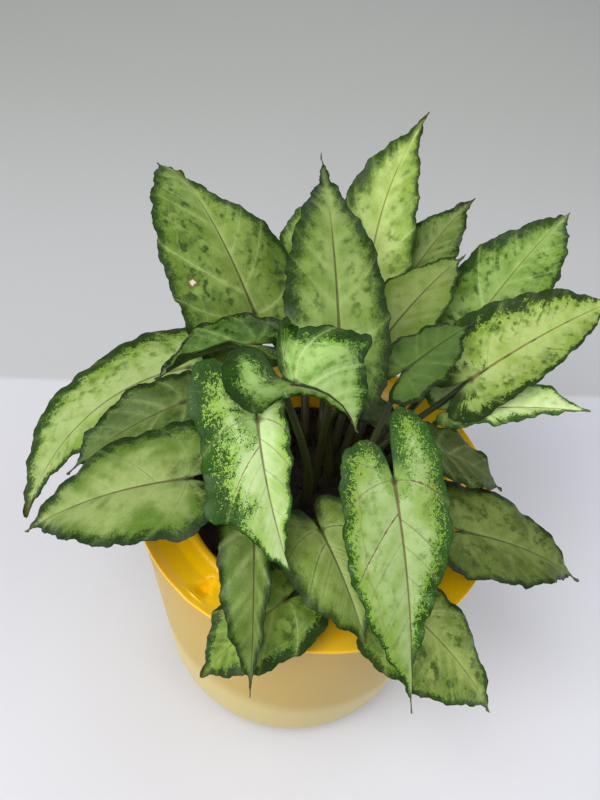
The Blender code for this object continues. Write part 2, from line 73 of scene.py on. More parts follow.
# Floor: pale in front, grey beyond a straight line behind the plant. The grey gets darker further
# back: painted shade, for a backdrop lit less towards its top
FLOOR_SIZE = 9000.0
LINE_LEFT = (-182.8, 120.0)
LINE_RIGHT = (174.8, 185.9)
LINE_SOFTNESS = 2.5
FLOOR_PALE = (213, 214, 222)
FLOOR_GREY_NEAR = (192, 193, 196)
# Painted shade: the grey far back is darker, as a backdrop wall lit less towards its top
FLOOR_GREY_FAR_SHADED = (182, 184, 181)
GREY_SHADE_REACH = 420.0

# Light. Each lamp has its place, the place it shines at, its size, power and colour.
LAMPS = {
    "key": ((-320, -420, 940), (0, 0, 120), 640, 7.5, (1.0, 0.985, 0.96)),
    "low": ((-700, -420, 380), (-30, -30, 110), 420, 2.2, (1.0, 0.98, 0.95)),
    "fill": ((650, -100, 800), (0, 0, 120), 900, 3.5, (0.97, 0.98, 1.0)),
    "back": ((100, 900, 800), (0, 0, 140), 800, 1.8, (0.97, 0.98, 1.0)),
}
SURROUND_COLOUR = (0.96, 0.975, 1.0, 1.0)
SURROUND_STRENGTH = 0.34

# Colours of 0 to 255, as the eye sees them
# Frosted pot: pale where nothing is behind it, partly painted light bounced from the floor; tan
# where the cup shows through; darker foot as painted shade
FROSTED_EMPTY_LIT = (212, 194, 128)
FROSTED_CUP = (196, 166, 84)
FROSTED_TOP = (196, 162, 78)
FROSTED_FOOT_SHADE = (154, 120, 52)
YELLOW = (255, 200, 0)
YELLOW_DEEP = (250, 188, 0)
# Soil: damp peat, darkened further as painted shade under the leaves
SOIL_WET_SHADED = (26, 21, 17)
SOIL_DAMP_SHADED = (42, 33, 25)
SOIL_PALE = (74, 58, 42)
COTTON = (214, 206, 186)
COTTON_SHADE = (186, 176, 154)
COTTON_WET = (150, 138, 112)
# Petioles: darkened from pale green as painted shade in the middle of the plant
PETIOLE_FOOT = (62, 60, 28)
PETIOLE_GREEN = (48, 64, 22)
PETIOLE_RED = (66, 48, 30)
PETIOLE_RIB = (24, 32, 12)
JOIN_COLOUR = (58, 50, 26)
TIP_COLOUR = (86, 84, 34)
SCAR_EDGE = (104, 78, 40)
SCAR_MIDDLE = (214, 204, 180)

# Outer pot
POT_HEIGHT = 115.0
POT_RADIUS = 66.0
POT_BASE_RADIUS = 52.0
POT_BASE_ROUND = 18.0
OUTER_TOP_INSET = 0.6
OUTER_WALL = 1.8
OUTER_FLOOR = 2.2
OUTER_RIM_ROUND = 0.5
OUTER_SIDES = 160
OUTER_FOOT_RINGS = 13
OUTER_BAND = 4.0

# Insert
FIT_GAP = 0.3
COLLAR_EDGE = 1.6
COLLAR_SKIRT = 1.5
COLLAR_VALLEY = 2.4
LIP_RADIUS = 50.0
LIP_PROFILE = ((-1.6, -0.9), (-0.6, -0.1), (0.5, -0.2), (1.8, -1.2))
CUP_TOP_RADIUS = 48.5
CUP_FLOOR_RADIUS = 37.0
CUP_FLOOR_HEIGHT = 44.0
CUP_WALL = 1.5
CUP_CORNER = 2.0
CUP_TOP_DROP = 5.0
INSERT_ROUND = 0.6
COLLAR_FINE_DEPTH = 4.5
COLLAR_RING_GAP = 0.6
COLLAR_WIDEST_GAP = 0.8
INNER_SIDES = 360
INLET_ANGLE = -123.0
INLET_HALF_WIDTH = 5.0
INLET_DEPTH = 4.0
INLET_RIM_DEPTH = 0.7
INLET_RADII = (53.0, 59.0, 62.0)
INLET_BLUNTNESS = 0.012
INLET_LEAN = 0.15

# Wick: three strands twisted together
WICK_RADIUS = 3.0
WICK_TOP = 78.0
WICK_FOOT = 3.4
WICK_TURNS = 5.0
WICK_STRANDS = 3
WICK_RELIEF = 0.14
WICK_STEPS = 90
WICK_SIDES = 36

# Soil
SOIL_EDGE_HEIGHT = 103.0
SOIL_CROWN = 3.0
SOIL_LUMP = 0.8
HOLE_DEPTH = 12.0
PETIOLE_RISE = 1.5
SOIL_RINGS = 70
SOIL_SIDES = 220
SOIL_CROWDING = 0.8
SOIL_ROUGH = 0.9
SOIL_ROUGH_AT_EDGE = 0.3
SOIL_EDGE_SPAN = 3.0
SOIL_FOOT_RISE = 2.5
SOIL_FOOT_INSET = 1.6
CRUMBS = 620
CRUMB_SEED = 11
CRUMB_SIZES = (0.5, 1.7)
CRUMB_LUMP = 0.22
CRUMB_RISE = 0.25

# Blades and petioles
BLADE_THICKNESS = 0.5
EDGE_THICKNESS = 0.2
EDGE_SPAN = 2.0
PETIOLE_FOOT_RADIUS = 1.5
PETIOLE_NECK_RADIUS = 1.0
PETIOLE_SOCKET_SHARE = 1.2
PETIOLE_COLLAR_SHARE = 1.12
PETIOLE_COLLAR_HEIGHT = 2.0
PETIOLE_BOW = 0.38
SHEATH = 0.35
SHEATH_END = 0.4
PETIOLE_SIDES = 14
PETIOLE_STEPS = 26
RIB_STATIONS = ((0.03, 0.95), (0.08, 0.85), (0.22, 0.6), (0.38, 0.42), (0.6, 0.28), (0.85, 0.15))
RIB_SINK = 0.1
MIDRIB_SAMPLES = 161
LONGEST_LOBE = -0.9
DROP_SPAN = 0.35
SWEEP_SPAN = 0.25
FOLD_START = -0.15
FOLD_SPAN = 0.35
BACK_SPAN = 0.3
LEAST_CUP = 1e-3
FINE_STEPS = 16
FINE_COLUMNS = 19
PLAIN_STEPS = 12
PLAIN_COLUMNS = 14

# Fields stored on a leaf: the flat place, and for its blade the distance from
# the margin, the veins and the midrib. A petiole has blank ones but for the first.
FIELDS = ("flat", "zone", "vein", "form")
PETIOLE_BLANK = (50.0, 50.0, 0.0)

# Half of a blade's outline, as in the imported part. Each row joins a point on
# its spine to a point on its margin. Lengths behind the join are in lobe
# lengths, those in front of it in midrib lengths, and widths in half-widths.
SPINE = (
    (-0.80, 0.16),
    (-0.52, 0.08),
    (-0.27, 0.045),
    (-0.10, 0.02),
    (0.00, 0.00),
    (0.16, 0.00),
    (0.32, 0.00),
    (0.48, 0.00),
    (0.63, 0.00),
    (0.77, 0.00),
    (0.90, 0.00),
    (1.00, 0.00),
)
MARGIN = (
    (-0.92, 0.26),
    (-1.00, 0.48),
    (-0.82, 0.76),
    (-0.42, 0.94),
    (0.02, 1.00),
    (0.20, 0.99),
    (0.37, 0.91),
    (0.53, 0.75),
    (0.68, 0.51),
    (0.80, 0.26),
    (0.90, 0.075),
    (1.00, 0.00),
)
SQUARE_MARGIN = (
    (-0.92, 0.30),
    (-1.00, 0.62),
    (-0.86, 0.92),
    (-0.45, 1.02),
    (0.00, 0.95),
    (0.17, 0.90),
    (0.34, 0.94),
    (0.50, 0.98),
    (0.57, 0.62),
    (0.72, 0.40),
    (0.88, 0.16),
    (1.00, 0.00),
)
SLIT_ROWS = 4
TAPER_START = 0.17
WAVES = 2.5
WAVE_HEIGHT = 0.9

# How each part's colours are tinted: strong greens, and pale parts close to white
DEEP_TINT = (0.95, 1.0, 0.74)
PALE_TINT = (1.06, 1.07, 0.98)
CONTRAST = {"pale": PALE_TINT, "halo": PALE_TINT, "vein": PALE_TINT, "rib": DEEP_TINT,
            "mid": (0.92, 0.98, 0.66), "dark": (0.66, 0.8, 0.36), "bright": DEEP_TINT,
            "under": DEEP_TINT}
BAND_REACH = 1.0
RIB_SHOW = 0.8
# How much light goes through a blade: weight, distance for each colour, scale
BLADE_SCATTER = (0.12, (0.7, 1.0, 0.3), 0.0006)

# Relief of a blade
CRINKLE_WAVES = ((2.3, 0.1), (5.3, 0.2), (12.0, 0.4))
CRINKLE_FADES = (3.0, 7.0)
RUFFLE_LENGTH = 7.5
RUFFLE_HEIGHT = 0.5
RUFFLE_SWELL = 0.4
RUFFLE_SWELL_LENGTH = 9.0
PUCKER = 0.4
PUCKER_ROOM = 6.0
GROOVE_DEPTH = 0.28
GROOVE_WIDTH = 0.9
GROOVE_FADES = (0.06, 0.3)
LATERAL_RIDGE = 0.16
LATERAL_RIDGE_WIDTH = 0.5

# Lateral veins. Each starts on the midrib, or for places below 0 at the join,
# and runs outwards at a slant that is given for some places between them.
SLANT_PLACES = (-1.2, -0.5, 0.0, 0.12, 0.5, 1.1)
SLANTS = (-2.8, -1.15, -0.10, 0.75, 1.1, 1.7)
BEND_PLACES = (-1.2, 0.0, 1.1)
BENDS = (0.0, 0.62, 0.62)
VEIN_PLACES = (-1.3, -0.72, -0.36, 0.0, 0.13, 0.27, 0.41, 0.55, 0.70, 0.86, 1.2)
VEIN_STRENGTHS = (0.0, 0.25, 0.4, 1.0, 0.95, 0.4, 0.35, 0.28, 0.2, 0.1, 0.0)
RIB_PLACES = (-0.02, 0.0, 0.12, 0.5, 1.0)
RIB_WIDTHS = (-3.0, 1.5, 0.8, 0.4, 0.15)
VEIN_SAMPLES = 93
VEIN_ROOM = 1.6
VEIN_SHIFT = 0.03
VEIN_UNEVEN = 0.35


@dataclass
class Look:
    """How one blade is coloured. Colours are as the eye sees them, 0 to 255."""

    # Tone: the leaf's own lightness, and for leaves in the shade of others painted shade as well
    tone: float = 1.0  # lightness of all its colours
    pale: tuple = (186, 212, 142)  # along the midrib
    mid: tuple = (140, 178, 84)  # towards the margin
    dark: tuple = (44, 92, 28)  # margin band and blotches
    bright: tuple = (132, 168, 66)  # ground between the specks of the band
    halo: tuple = (200, 220, 160)  # soft zone beside the veins
    vein: tuple = (150, 160, 96)  # lines of the lateral veins
    rib: tuple = (122, 116, 74)  # line of the midrib
    under: tuple = (122, 142, 96)  # underside
    soft: float = 0.25  # softness of the band's inner edge
    specks: float = 0.5  # how much the band breaks up into specks
    fingers: float = 0.5  # how far the band reaches in between the veins
    blotches: float = 0.25  # dark blotches between the veins
    pepper: float = 0.25  # fine dark specks over the whole blade
    halo_show: float = 0.3
    vein_show: float = 0.5
    rib_width: float = 0.45
    rib_end: float = 1.2  # how far along the midrib its line shows
    gloss: float = 0.42
    scar: tuple = ()  # place of a small dry scar, in mm along and across the midrib
    fine: bool = False  # a denser grid, for the blades that show most
    # Width of the dark band in mm on the left and right, at places along the midrib
    band: tuple = ((0.0, 2.0, 2.0), (0.5, 1.8, 1.8), (1.0, 1.2, 1.2))


@dataclass
class Leaf:
    """One leaf: its petiole's foot in the soil, and its blade's place and form.

    Left and right are seen from the join, looking towards the tip.
    """

    name: str
    foot: tuple
    join: tuple
    tip: tuple
    width: tuple
    lobe: tuple
    roll: float = 0.0
    arch: float = 35.0
    hook: float = 0.0
    side: float = 0.0
    drop: float = 20.0
    sweep: float = 0.0
    vee: tuple = (14.0, 14.0)
    cup: tuple = (-26.0, -26.0)
    fold: tuple = (0.0, 0.0)
    taper: tuple = (1.0, 1.0)
    square: tuple = (False, False)
    back: tuple = (1.0, 1.0)
    meet: float = 55.0
    lean: tuple = (0.0, 0.0)


LEAVES = (
    # Upper leaves, which point up and away at the back
    Leaf("leaf_back_left", (-13, 9), (-31, 25, 168), (-75, 75, 186), (25, 22), (17, 18),
         hook=40, taper=(0.7, 2.7)),
    Leaf("leaf_back_tall", (-1, 1), (-2, 2, 183), (-18, 77, 200), (17, 16), (17, 22),
         taper=(1.4, 1.6), arch=30),
    Leaf("leaf_back_high", (5, 21), (7, 60, 162), (19, 109, 206), (17, 15), (15, 15),
         side=28, taper=(1.0, 1.05), arch=20),
    Leaf("leaf_back_small", (13, 23), (21, 66, 158), (42, 92, 184), (13, 13), (12, 12)),
    Leaf("leaf_back_bright", (8, 12), (14, 31, 160), (41, 71, 173), (14, 13), (12, 12)),
    Leaf("leaf_back_right", (20, 16), (47, 50, 156), (84, 109, 174), (19, 18), (17, 16),
         taper=(1.0, 0.85)),
    Leaf("leaf_back_sliver", (-7, 22), (-20, 64, 162), (-19, 87, 178), (9, 9), (10, 10)),
    # Lower leaves at the back
    Leaf("leaf_rear_left", (-14, 18), (-34, 48, 144), (-62, 88, 112), (16, 16), (12, 12)),
    Leaf("leaf_rear_middle", (-1, 28), (-3, 66, 128), (0, 108, 98), (16, 16), (9, 9)),
    Leaf("leaf_rear_right", (20, 24), (41, 56, 128), (70, 90, 102), (15, 15), (9, 9)),
    # Leaves on the right
    Leaf("leaf_right_dark", (11, -5), (20, 3, 175), (44, 35, 172), (10, 11), (9, 12),
         arch=15, drop=40, taper=(1.0, 1.7), lean=(2, -2)),
    Leaf("leaf_right_large", (16, 4), (45, 19, 160), (99, 65, 168), (21, 15), (12, 13),
         roll=10, vee=(4, -25), cup=(-14, -30), taper=(0.7, 0.8), lean=(-8, -4)),
    Leaf("leaf_right_under", (22, 10), (41, 16, 146), (93, 27, 146), (15, 7), (7, 5),
         taper=(0.6, 1.2), arch=20, cup=(-26, -60)),
    Leaf("leaf_right_shade", (23, -2), (37, -3, 146), (65, 0, 126), (12, 11), (7, 7)),
    Leaf("leaf_right_low", (22, -14), (48, -26, 135), (98, -19, 106), (20, 17), (9, 9),
         taper=(1.0, 1.2)),
    # Leaves in front
    Leaf("leaf_front_right", (10, -14), (20, -33, 165), (37, -80, 116), (16, 18.5), (23, 13),
         taper=(3.0, 1.1), back=(1.0, 0.9)),
    Leaf("leaf_front_under", (14, -22), (30, -50, 126), (69, -65, 90), (15, 20), (10, 8),
         vee=(14, -5), cup=(-26, -30)),
    Leaf("leaf_front_left", (-8, -13), (-22, -31, 180), (-5, -59, 147), (9, 19), (12, 16),
         square=(False, True), side=-20, arch=20, taper=(1.6, 1.0)),
    Leaf("leaf_front_middle", (1, -18), (2, -39, 142), (20, -68, 131), (14, 17), (12, 12),
         taper=(1.0, 0.7)),
    Leaf("leaf_front_folded", (-9, -22), (-18, -45, 145), (-11, -82, 112), (9, 11), (8, 8),
         taper=(1.2, 1.1), fold=(60, 0), arch=45),
    Leaf("leaf_front_low", (-3, -27), (-5, -55, 125), (-27, -76, 106), (16, 14), (9, 9),
         taper=(0.8, 0.8), cup=(-45, -26), arch=45),
    # Leaves in the middle
    Leaf("leaf_middle_curled", (-4, -7), (-13, -31, 197), (7, -20, 169), (20, 9), (15, 19),
         square=(True, False), arch=15, side=45, vee=(-40, -65), cup=(15, 40), fold=(30, -15),
         roll=65, drop=-15, sweep=60, taper=(0.8, 1.5), back=(0.8, 1.8), meet=100, lean=(6, -6)),
    Leaf("leaf_middle_dark", (4, 9), (6, 9, 150), (27, 5, 140), (10, 6), (6, 6)),
    # Leaves on the left
    Leaf("leaf_left_rolled", (-14, 0), (-28, 2, 176), (-57, -6, 161), (10, 14), (15, 15),
         fold=(50, 0), arch=55),
    Leaf("leaf_left_upper", (-22, 6), (-51, 15, 147), (-98, -31, 107), (14, 19), (14, 16),
         side=-60, taper=(1.0, 0.7)),
    Leaf("leaf_left_lower", (-20, -14), (-40, -38, 156), (-91, -45, 122), (21, 22), (9, 13),
         taper=(1.0, 0.85), lean=(-4, 4)),
    Leaf("leaf_left_between", (-24, -4), (-49, -4, 150), (-84, -24, 127), (12, 12), (12, 12),
         fold=(0, 20)),
)

# Colours of each blade. Their tone and colours are set to how light each leaf looks, so leaves
# inside the plant or under others carry painted shade
LOOKS = {
    "leaf_back_left": Look(
        0.86, (134, 158, 80), (110, 136, 58), (44, 76, 20), halo=(186, 204, 136),
        vein=(164, 186, 112), rib=(84, 74, 40), soft=0.6, specks=0.45, fingers=0.35,
        blotches=0.65, pepper=0.5, halo_show=0.55, rib_end=0.8, scar=(16.0, 17.5), fine=True,
        band=((0.0, 2.4, 2.4), (0.5, 2.4, 2.8), (1.0, 2.4, 2.4)),
    ),
    "leaf_back_tall": Look(
        0.74, (168, 192, 116), (142, 174, 84), (32, 70, 18), halo=(190, 212, 132),
        vein=(180, 206, 124), rib=(84, 78, 46), soft=0.7, specks=0.35, fingers=0.55,
        blotches=0.4, pepper=0.2, halo_show=0.55, vein_show=0.3, rib_end=0.75, fine=True,
        band=((-0.4, 4.5, 3.0), (0.0, 4.5, 3.5), (0.5, 4.0, 3.5), (0.8, 2.5, 2.2), (1.0, 1.5, 1.5)),
    ),
    "leaf_back_high": Look(
        0.92, (180, 198, 128), (152, 176, 94), (52, 84, 26), halo=(196, 216, 138),
        vein=(190, 208, 138), rib=(128, 124, 74), soft=0.7, specks=0.3, blotches=0.35,
        halo_show=0.5, vein_show=0.3, rib_end=0.95,
        band=((-0.4, 4.0, 3.0), (0.0, 4.5, 2.5), (0.5, 4.5, 1.3), (1.0, 2.0, 1.2)),
    ),
    "leaf_back_small": Look(
        0.82, (128, 150, 80), (102, 130, 56), (36, 62, 18), soft=0.6, blotches=0.4,
        band=((0.0, 2.5, 2.5), (1.0, 1.5, 1.5)),
    ),
    "leaf_back_bright": Look(
        0.69, (172, 194, 110), (152, 180, 84), (60, 98, 26), rib=(112, 108, 60), blotches=0.08,
        vein_show=0.25, band=((-0.4, 1.2, 1.2), (0.0, 1.0, 1.0), (1.0, 0.8, 0.8)),
    ),
    "leaf_back_right": Look(
        0.98, (134, 160, 90), (112, 140, 68), (44, 76, 24), halo=(164, 190, 122),
        vein=(164, 188, 118), soft=0.6, specks=0.3, fingers=0.7, blotches=0.75,
        halo_show=0.6, vein_show=0.4,
        band=((-0.4, 4.5, 2.5), (0.0, 5.0, 2.0), (0.5, 5.5, 1.8), (1.0, 2.5, 1.5)),
    ),
    "leaf_back_sliver": Look(0.8, (170, 196, 110), (130, 164, 70), (62, 100, 34)),
    "leaf_rear_left": Look(),
    "leaf_rear_middle": Look(1.0, (160, 190, 108), (116, 154, 66)),
    "leaf_rear_right": Look(1.0, (168, 196, 118), (124, 162, 74), blotches=0.5),
    # Partly painted shade: a dark green leaf that also lies in the shade of others
    "leaf_right_dark": Look(
        0.7, (108, 142, 62), (92, 128, 50), (36, 72, 20), halo=(134, 176, 84),
        rib=(60, 92, 36), specks=0.2, blotches=0.1, halo_show=0.5, vein_show=0.3,
        band=((-0.4, 1.4, 1.4), (0.0, 1.2, 1.2), (1.0, 1.0, 1.0)),
    ),
    "leaf_right_large": Look(
        0.85, (186, 206, 130), (166, 190, 96), (34, 70, 20), (160, 200, 84), (200, 220, 142),
        vein=(150, 160, 90), rib=(136, 112, 70), soft=0.18, specks=0.4, fingers=0.95,
        blotches=0.55, pepper=0.1, vein_show=0.4, fine=True,
        band=((-0.4, 4.0, 4.0), (0.0, 5.5, 4.5), (0.3, 7.0, 2.5), (0.6, 5.5, 1.5),
              (0.85, 2.5, 1.0), (1.0, 1.0, 1.0)),
    ),
    "leaf_right_under": Look(1.1, (176, 190, 150), (158, 176, 140), blotches=0.2),
    # Painted shade: tone and colours darkened for a leaf in the shade under others
    "leaf_right_shade": Look(
        0.74, (92, 108, 54), (76, 92, 40), (52, 78, 30), soft=0.6, blotches=0.3,
        halo_show=0.2, vein_show=0.3,
    ),
    # Painted shade: darkened for a leaf in the shadow of the plant
    "leaf_right_low": Look(
        0.86, (122, 138, 72), (94, 108, 50), (36, 58, 22), halo=(140, 158, 92),
        vein=(96, 118, 62), rib=(70, 76, 44), soft=0.6, specks=0.3, blotches=0.45, halo_show=0.4,
        band=((-0.4, 3.5, 3.0), (0.0, 3.0, 2.0), (0.5, 2.2, 1.6), (1.0, 1.2, 1.2)),
    ),
    "leaf_front_right": Look(
        0.85, (174, 198, 142), (160, 186, 108), (46, 106, 30), (136, 178, 66), (190, 208, 156),
        vein=(118, 92, 68), rib=(118, 80, 62), soft=0.2, specks=0.9, fingers=0.4,
        blotches=0.2, pepper=0.2, halo_show=0.25, vein_show=0.85, fine=True,
        band=((-0.4, 4.4, 4.0), (0.0, 4.0, 3.2), (0.25, 3.8, 2.0), (0.45, 3.6, 1.4),
              (0.65, 2.0, 1.0), (0.85, 1.2, 0.9), (1.0, 1.2, 1.2)),
    ),
    "leaf_front_under": Look(
        1.07, (128, 142, 78), (100, 118, 54), (44, 68, 26), vein=(100, 120, 62),
        rib=(104, 112, 66), soft=0.55, specks=0.4, blotches=0.6, halo_show=0.2,
        band=((-0.4, 3.5, 3.5), (0.0, 2.6, 2.6), (0.5, 2.0, 2.0), (1.0, 1.3, 1.3)),
    ),
    "leaf_front_left": Look(
        0.97, (184, 206, 158), (172, 198, 128), (36, 96, 38), (140, 182, 80), (200, 218, 170),
        vein=(132, 118, 96), rib=(112, 92, 76), specks=0.75, fingers=0.9, blotches=0.12,
        pepper=0.08, halo_show=0.2, vein_show=0.8, rib_width=0.4, fine=True,
        band=((-0.4, 2.5, 6.0), (0.0, 1.6, 5.5), (0.3, 1.2, 6.5), (0.5, 1.0, 6.0),
              (0.6, 0.8, 1.5), (0.8, 0.6, 0.8), (1.0, 0.5, 0.5)),
    ),
    "leaf_front_middle": Look(
        0.92, (148, 168, 98), (128, 152, 74), (44, 72, 26), vein=(84, 84, 48),
        rib=(84, 74, 48), soft=0.7, specks=0.2, blotches=0.15, vein_show=0.7,
        band=((-0.4, 2.5, 3.5), (0.0, 1.8, 3.5), (0.5, 1.4, 3.0), (1.0, 1.0, 1.0)),
    ),
    "leaf_front_folded": Look(
        0.81, (136, 158, 86), (116, 142, 70), (40, 68, 24), soft=0.7, specks=0.2,
        blotches=0.15, halo_show=0.5, vein_show=0.4,
    ),
    "leaf_front_low": Look(
        1.0, (122, 144, 66), (96, 118, 46), (32, 64, 22), halo=(150, 172, 100),
        specks=0.4, fingers=0.6, blotches=0.55, halo_show=0.4,
        band=((-0.4, 4.0, 4.0), (0.0, 3.4, 3.4), (0.6, 3.0, 3.0), (1.0, 1.5, 1.5)),
    ),
    "leaf_middle_curled": Look(
        0.99, (172, 200, 132), (126, 170, 76), (32, 74, 22), (128, 174, 64), (194, 216, 156),
        vein=(196, 218, 158), rib=(180, 200, 130), soft=0.35, fingers=0.6, blotches=0.3,
        halo_show=0.45, fine=True,
        band=((-0.4, 3.5, 5.0), (0.0, 3.5, 3.0), (0.4, 3.5, 2.0), (1.0, 2.5, 1.0)),
    ),
    # Painted shade: a small leaf deep inside the plant, darkened to half its tone
    "leaf_middle_dark": Look(0.5, (96, 138, 54), (78, 120, 42), (48, 84, 28)),
    "leaf_left_rolled": Look(
        0.78, (96, 134, 60), (66, 102, 38), (26, 60, 16), halo=(160, 194, 120),
        blotches=0.6, halo_show=0.6, gloss=0.26, fine=True,
        band=((-0.4, 3.0, 3.0), (0.0, 4.0, 2.5), (0.6, 3.5, 2.0), (1.0, 2.0, 1.2)),
    ),
    "leaf_left_upper": Look(
        0.86, (172, 192, 130), (150, 176, 96), (36, 76, 22), (150, 192, 76), soft=0.35,
        specks=0.45, fingers=0.6, blotches=0.35, pepper=0.12, fine=True,
        band=((-0.4, 2.0, 4.5), (0.0, 1.6, 5.0), (0.5, 1.6, 4.5), (0.8, 1.6, 3.0), (1.0, 1.3, 1.5)),
    ),
    "leaf_left_lower": Look(
        0.78, (172, 192, 122), (116, 148, 62), (30, 70, 20), vein=(136, 152, 90),
        rib=(104, 88, 58), soft=0.6, specks=0.35, fingers=0.6, blotches=0.05, pepper=0.08,
        halo_show=0.25, fine=True,
        band=((-0.4, 3.5, 5.5), (0.0, 3.2, 5.0), (0.5, 2.6, 4.2), (1.0, 1.8, 1.8)),
    ),
    "leaf_left_between": Look(
        0.78, (108, 134, 66), (84, 108, 48), (32, 66, 22), soft=0.5,
        band=((0.0, 2.5, 2.5), (1.0, 1.4, 1.4)),
    ),
}


def srgb(colour):
    """A colour of 0 to 255 as the linear values that shaders use."""
    linear = []
    for part in colour:
        share = part / 255.0
        linear.append(share / 12.92 if share <= 0.04045 else ((share + 0.055) / 1.055) ** 2.4)
    return (*linear, 1.0)


def shaded(colour, share):
    """A colour made darker, or lighter if the share is above 1."""
    return tuple(min(255.0, share * part) for part in colour)


def toned(look):
    """A look with all its colours tinted, and made lighter or darker by its tone, which for some
    leaves holds painted shade.
    """
    colours = {}
    for part, tint in CONTRAST.items():
        colour = getattr(look, part)
        colours[part] = tuple(min(255.0, look.tone * t * c) for t, c in zip(tint, colour))
    return replace(look, **colours)


class Value:
    """A value in a material. It can be added, subtracted and multiplied like a number."""

    def __init__(self, graph, socket):
        self.graph = graph
        self.socket = socket

    def __add__(self, other):
        return self.graph.math("ADD", self, other)

    def __sub__(self, other):
        return self.graph.math("SUBTRACT", self, other)

    def __rsub__(self, other):
        return self.graph.math("SUBTRACT", other, self)

    def __mul__(self, other):
        return self.graph.math("MULTIPLY", self, other)

    def __abs__(self):
        return self.graph.math("ABSOLUTE", self)

    def __round__(self):
        return self.graph.math("ROUND", self)

    def smooth(self, low, high, start=0.0, end=1.0):
        """0 below low and 1 above high, or the reverse if low is the greater."""
        if low > high:
            low, high, start, end = high, low, end, start
        inputs = {"Value": self, "From Min": low, "From Max": high, "To Min": start, "To Max": end}
        return self.graph.node("MapRange", 0, inputs, interpolation_type="SMOOTHSTEP")


class Graph:
    """Adds nodes to one material and joins them, value by value."""

    def __init__(self, name):
        self.material = bpy.data.materials.new(name)
        self.material.use_nodes = True
        self.tree = self.material.node_tree

    def join(self, value, socket):
        if isinstance(value, Value):
            self.tree.links.new(value.socket, socket)
        elif isinstance(value, tuple) and socket.type == "RGBA":
            socket.default_value = srgb(value)
        else:
            socket.default_value = value

    def node(self, kind, output, inputs, **settings):
        """Adds a node with its inputs and settings, and gives one of its outputs."""
        made = self.tree.nodes.new("ShaderNode" + kind)
        for key, value in settings.items():
            setattr(made, key, value)
        for key, value in inputs.items():
            self.join(value, made.inputs[key])
        return Value(self, made.outputs[output])

    def math(self, operation, *values):
        return self.node("Math", 0, dict(enumerate(values)), operation=operation)

    def length(self, x, y):
        return self.math("SQRT", x * x + y * y)

    def vector(self, x, y, z):
        return self.node("CombineXYZ", 0, {0: x, 1: y, 2: z})

    def split(self, vector):
        """The three parts of a vector."""
        first = self.node("SeparateXYZ", 0, {0: vector})
        return [Value(self, part) for part in first.socket.node.outputs]

    def attribute(self, name):
        """The three parts of a vector stored on the mesh."""
        return self.split(self.node("Attribute", "Vector", {}, attribute_name=name))

    def place(self):
        """The place on the object, in millimetres."""
        metres = self.node("TexCoord", "Object", {})
        return self.node("VectorMath", 0, {0: metres, "Scale": 1.0 / MM}, operation="SCALE")

    def noise(self, place, scale, detail=2.0, roughness=0.5):
        inputs = {"Vector": place, "Scale": scale, "Detail": detail, "Roughness": roughness}
        return self.node("TexNoise", "Fac", inputs)

    def cells(self, place, scale):
        """Distance to the borders between random cells."""
        inputs = {"Vector": place, "Scale": scale}
        return self.node("TexVoronoi", "Distance", inputs, feature="DISTANCE_TO_EDGE")

    def paint(self, colour, *layers):
        """A colour with layers over it, each a mask and a colour of its own."""
        for mask, over in layers:
            colour = self.node("Mix", 2, {0: mask, 6: colour, 7: over}, data_type="RGBA")
        return colour

    def bump(self, height, strength, distance):
        inputs = {"Strength": strength, "Distance": distance, "Height": height}
        return self.node("Bump", 0, inputs)

    def finish(self, scatter=None, **values):
        """Sets sockets of the shader by name, with _ for each space."""
        if scatter:
            for key, value in zip(("Weight", "Radius", "Scale"), scatter):
                values["Subsurface_" + key] = value
        shader = self.tree.nodes["Principled BSDF"]
        for key, value in values.items():
            self.join(value, shader.inputs[key.replace("_", " ")])
        return self.material


def leaf_veins(graph, look, flat):
    """Masks of the lateral veins, the soft zone beside them, the midrib and its surround."""
    phase, spacing, fade = graph.attribute("vein")
    station, aside, rib_half = graph.attribute("form")
    off = abs(phase - round(phase)) * spacing
    off = abs(off + (graph.noise(flat, 0.5) - 0.5) * 0.5)
    line = off.smooth(0.34, 0.06) * fade
    uneven = graph.noise(flat, 0.28, 3.0, 0.6).smooth(0.36, 0.62, 0.3, 1.0)
    zone = off.smooth(1.5, 0.0) * fade * uneven * aside.smooth(16.0, 3.0, 0.45, 1.0)
    from_rib = aside - rib_half
    rib = from_rib.smooth(0.22, -0.10) * station.smooth(look.rib_end, 0.5 * look.rib_end)
    return line, zone, rib, from_rib.smooth(1.6, 0.0)


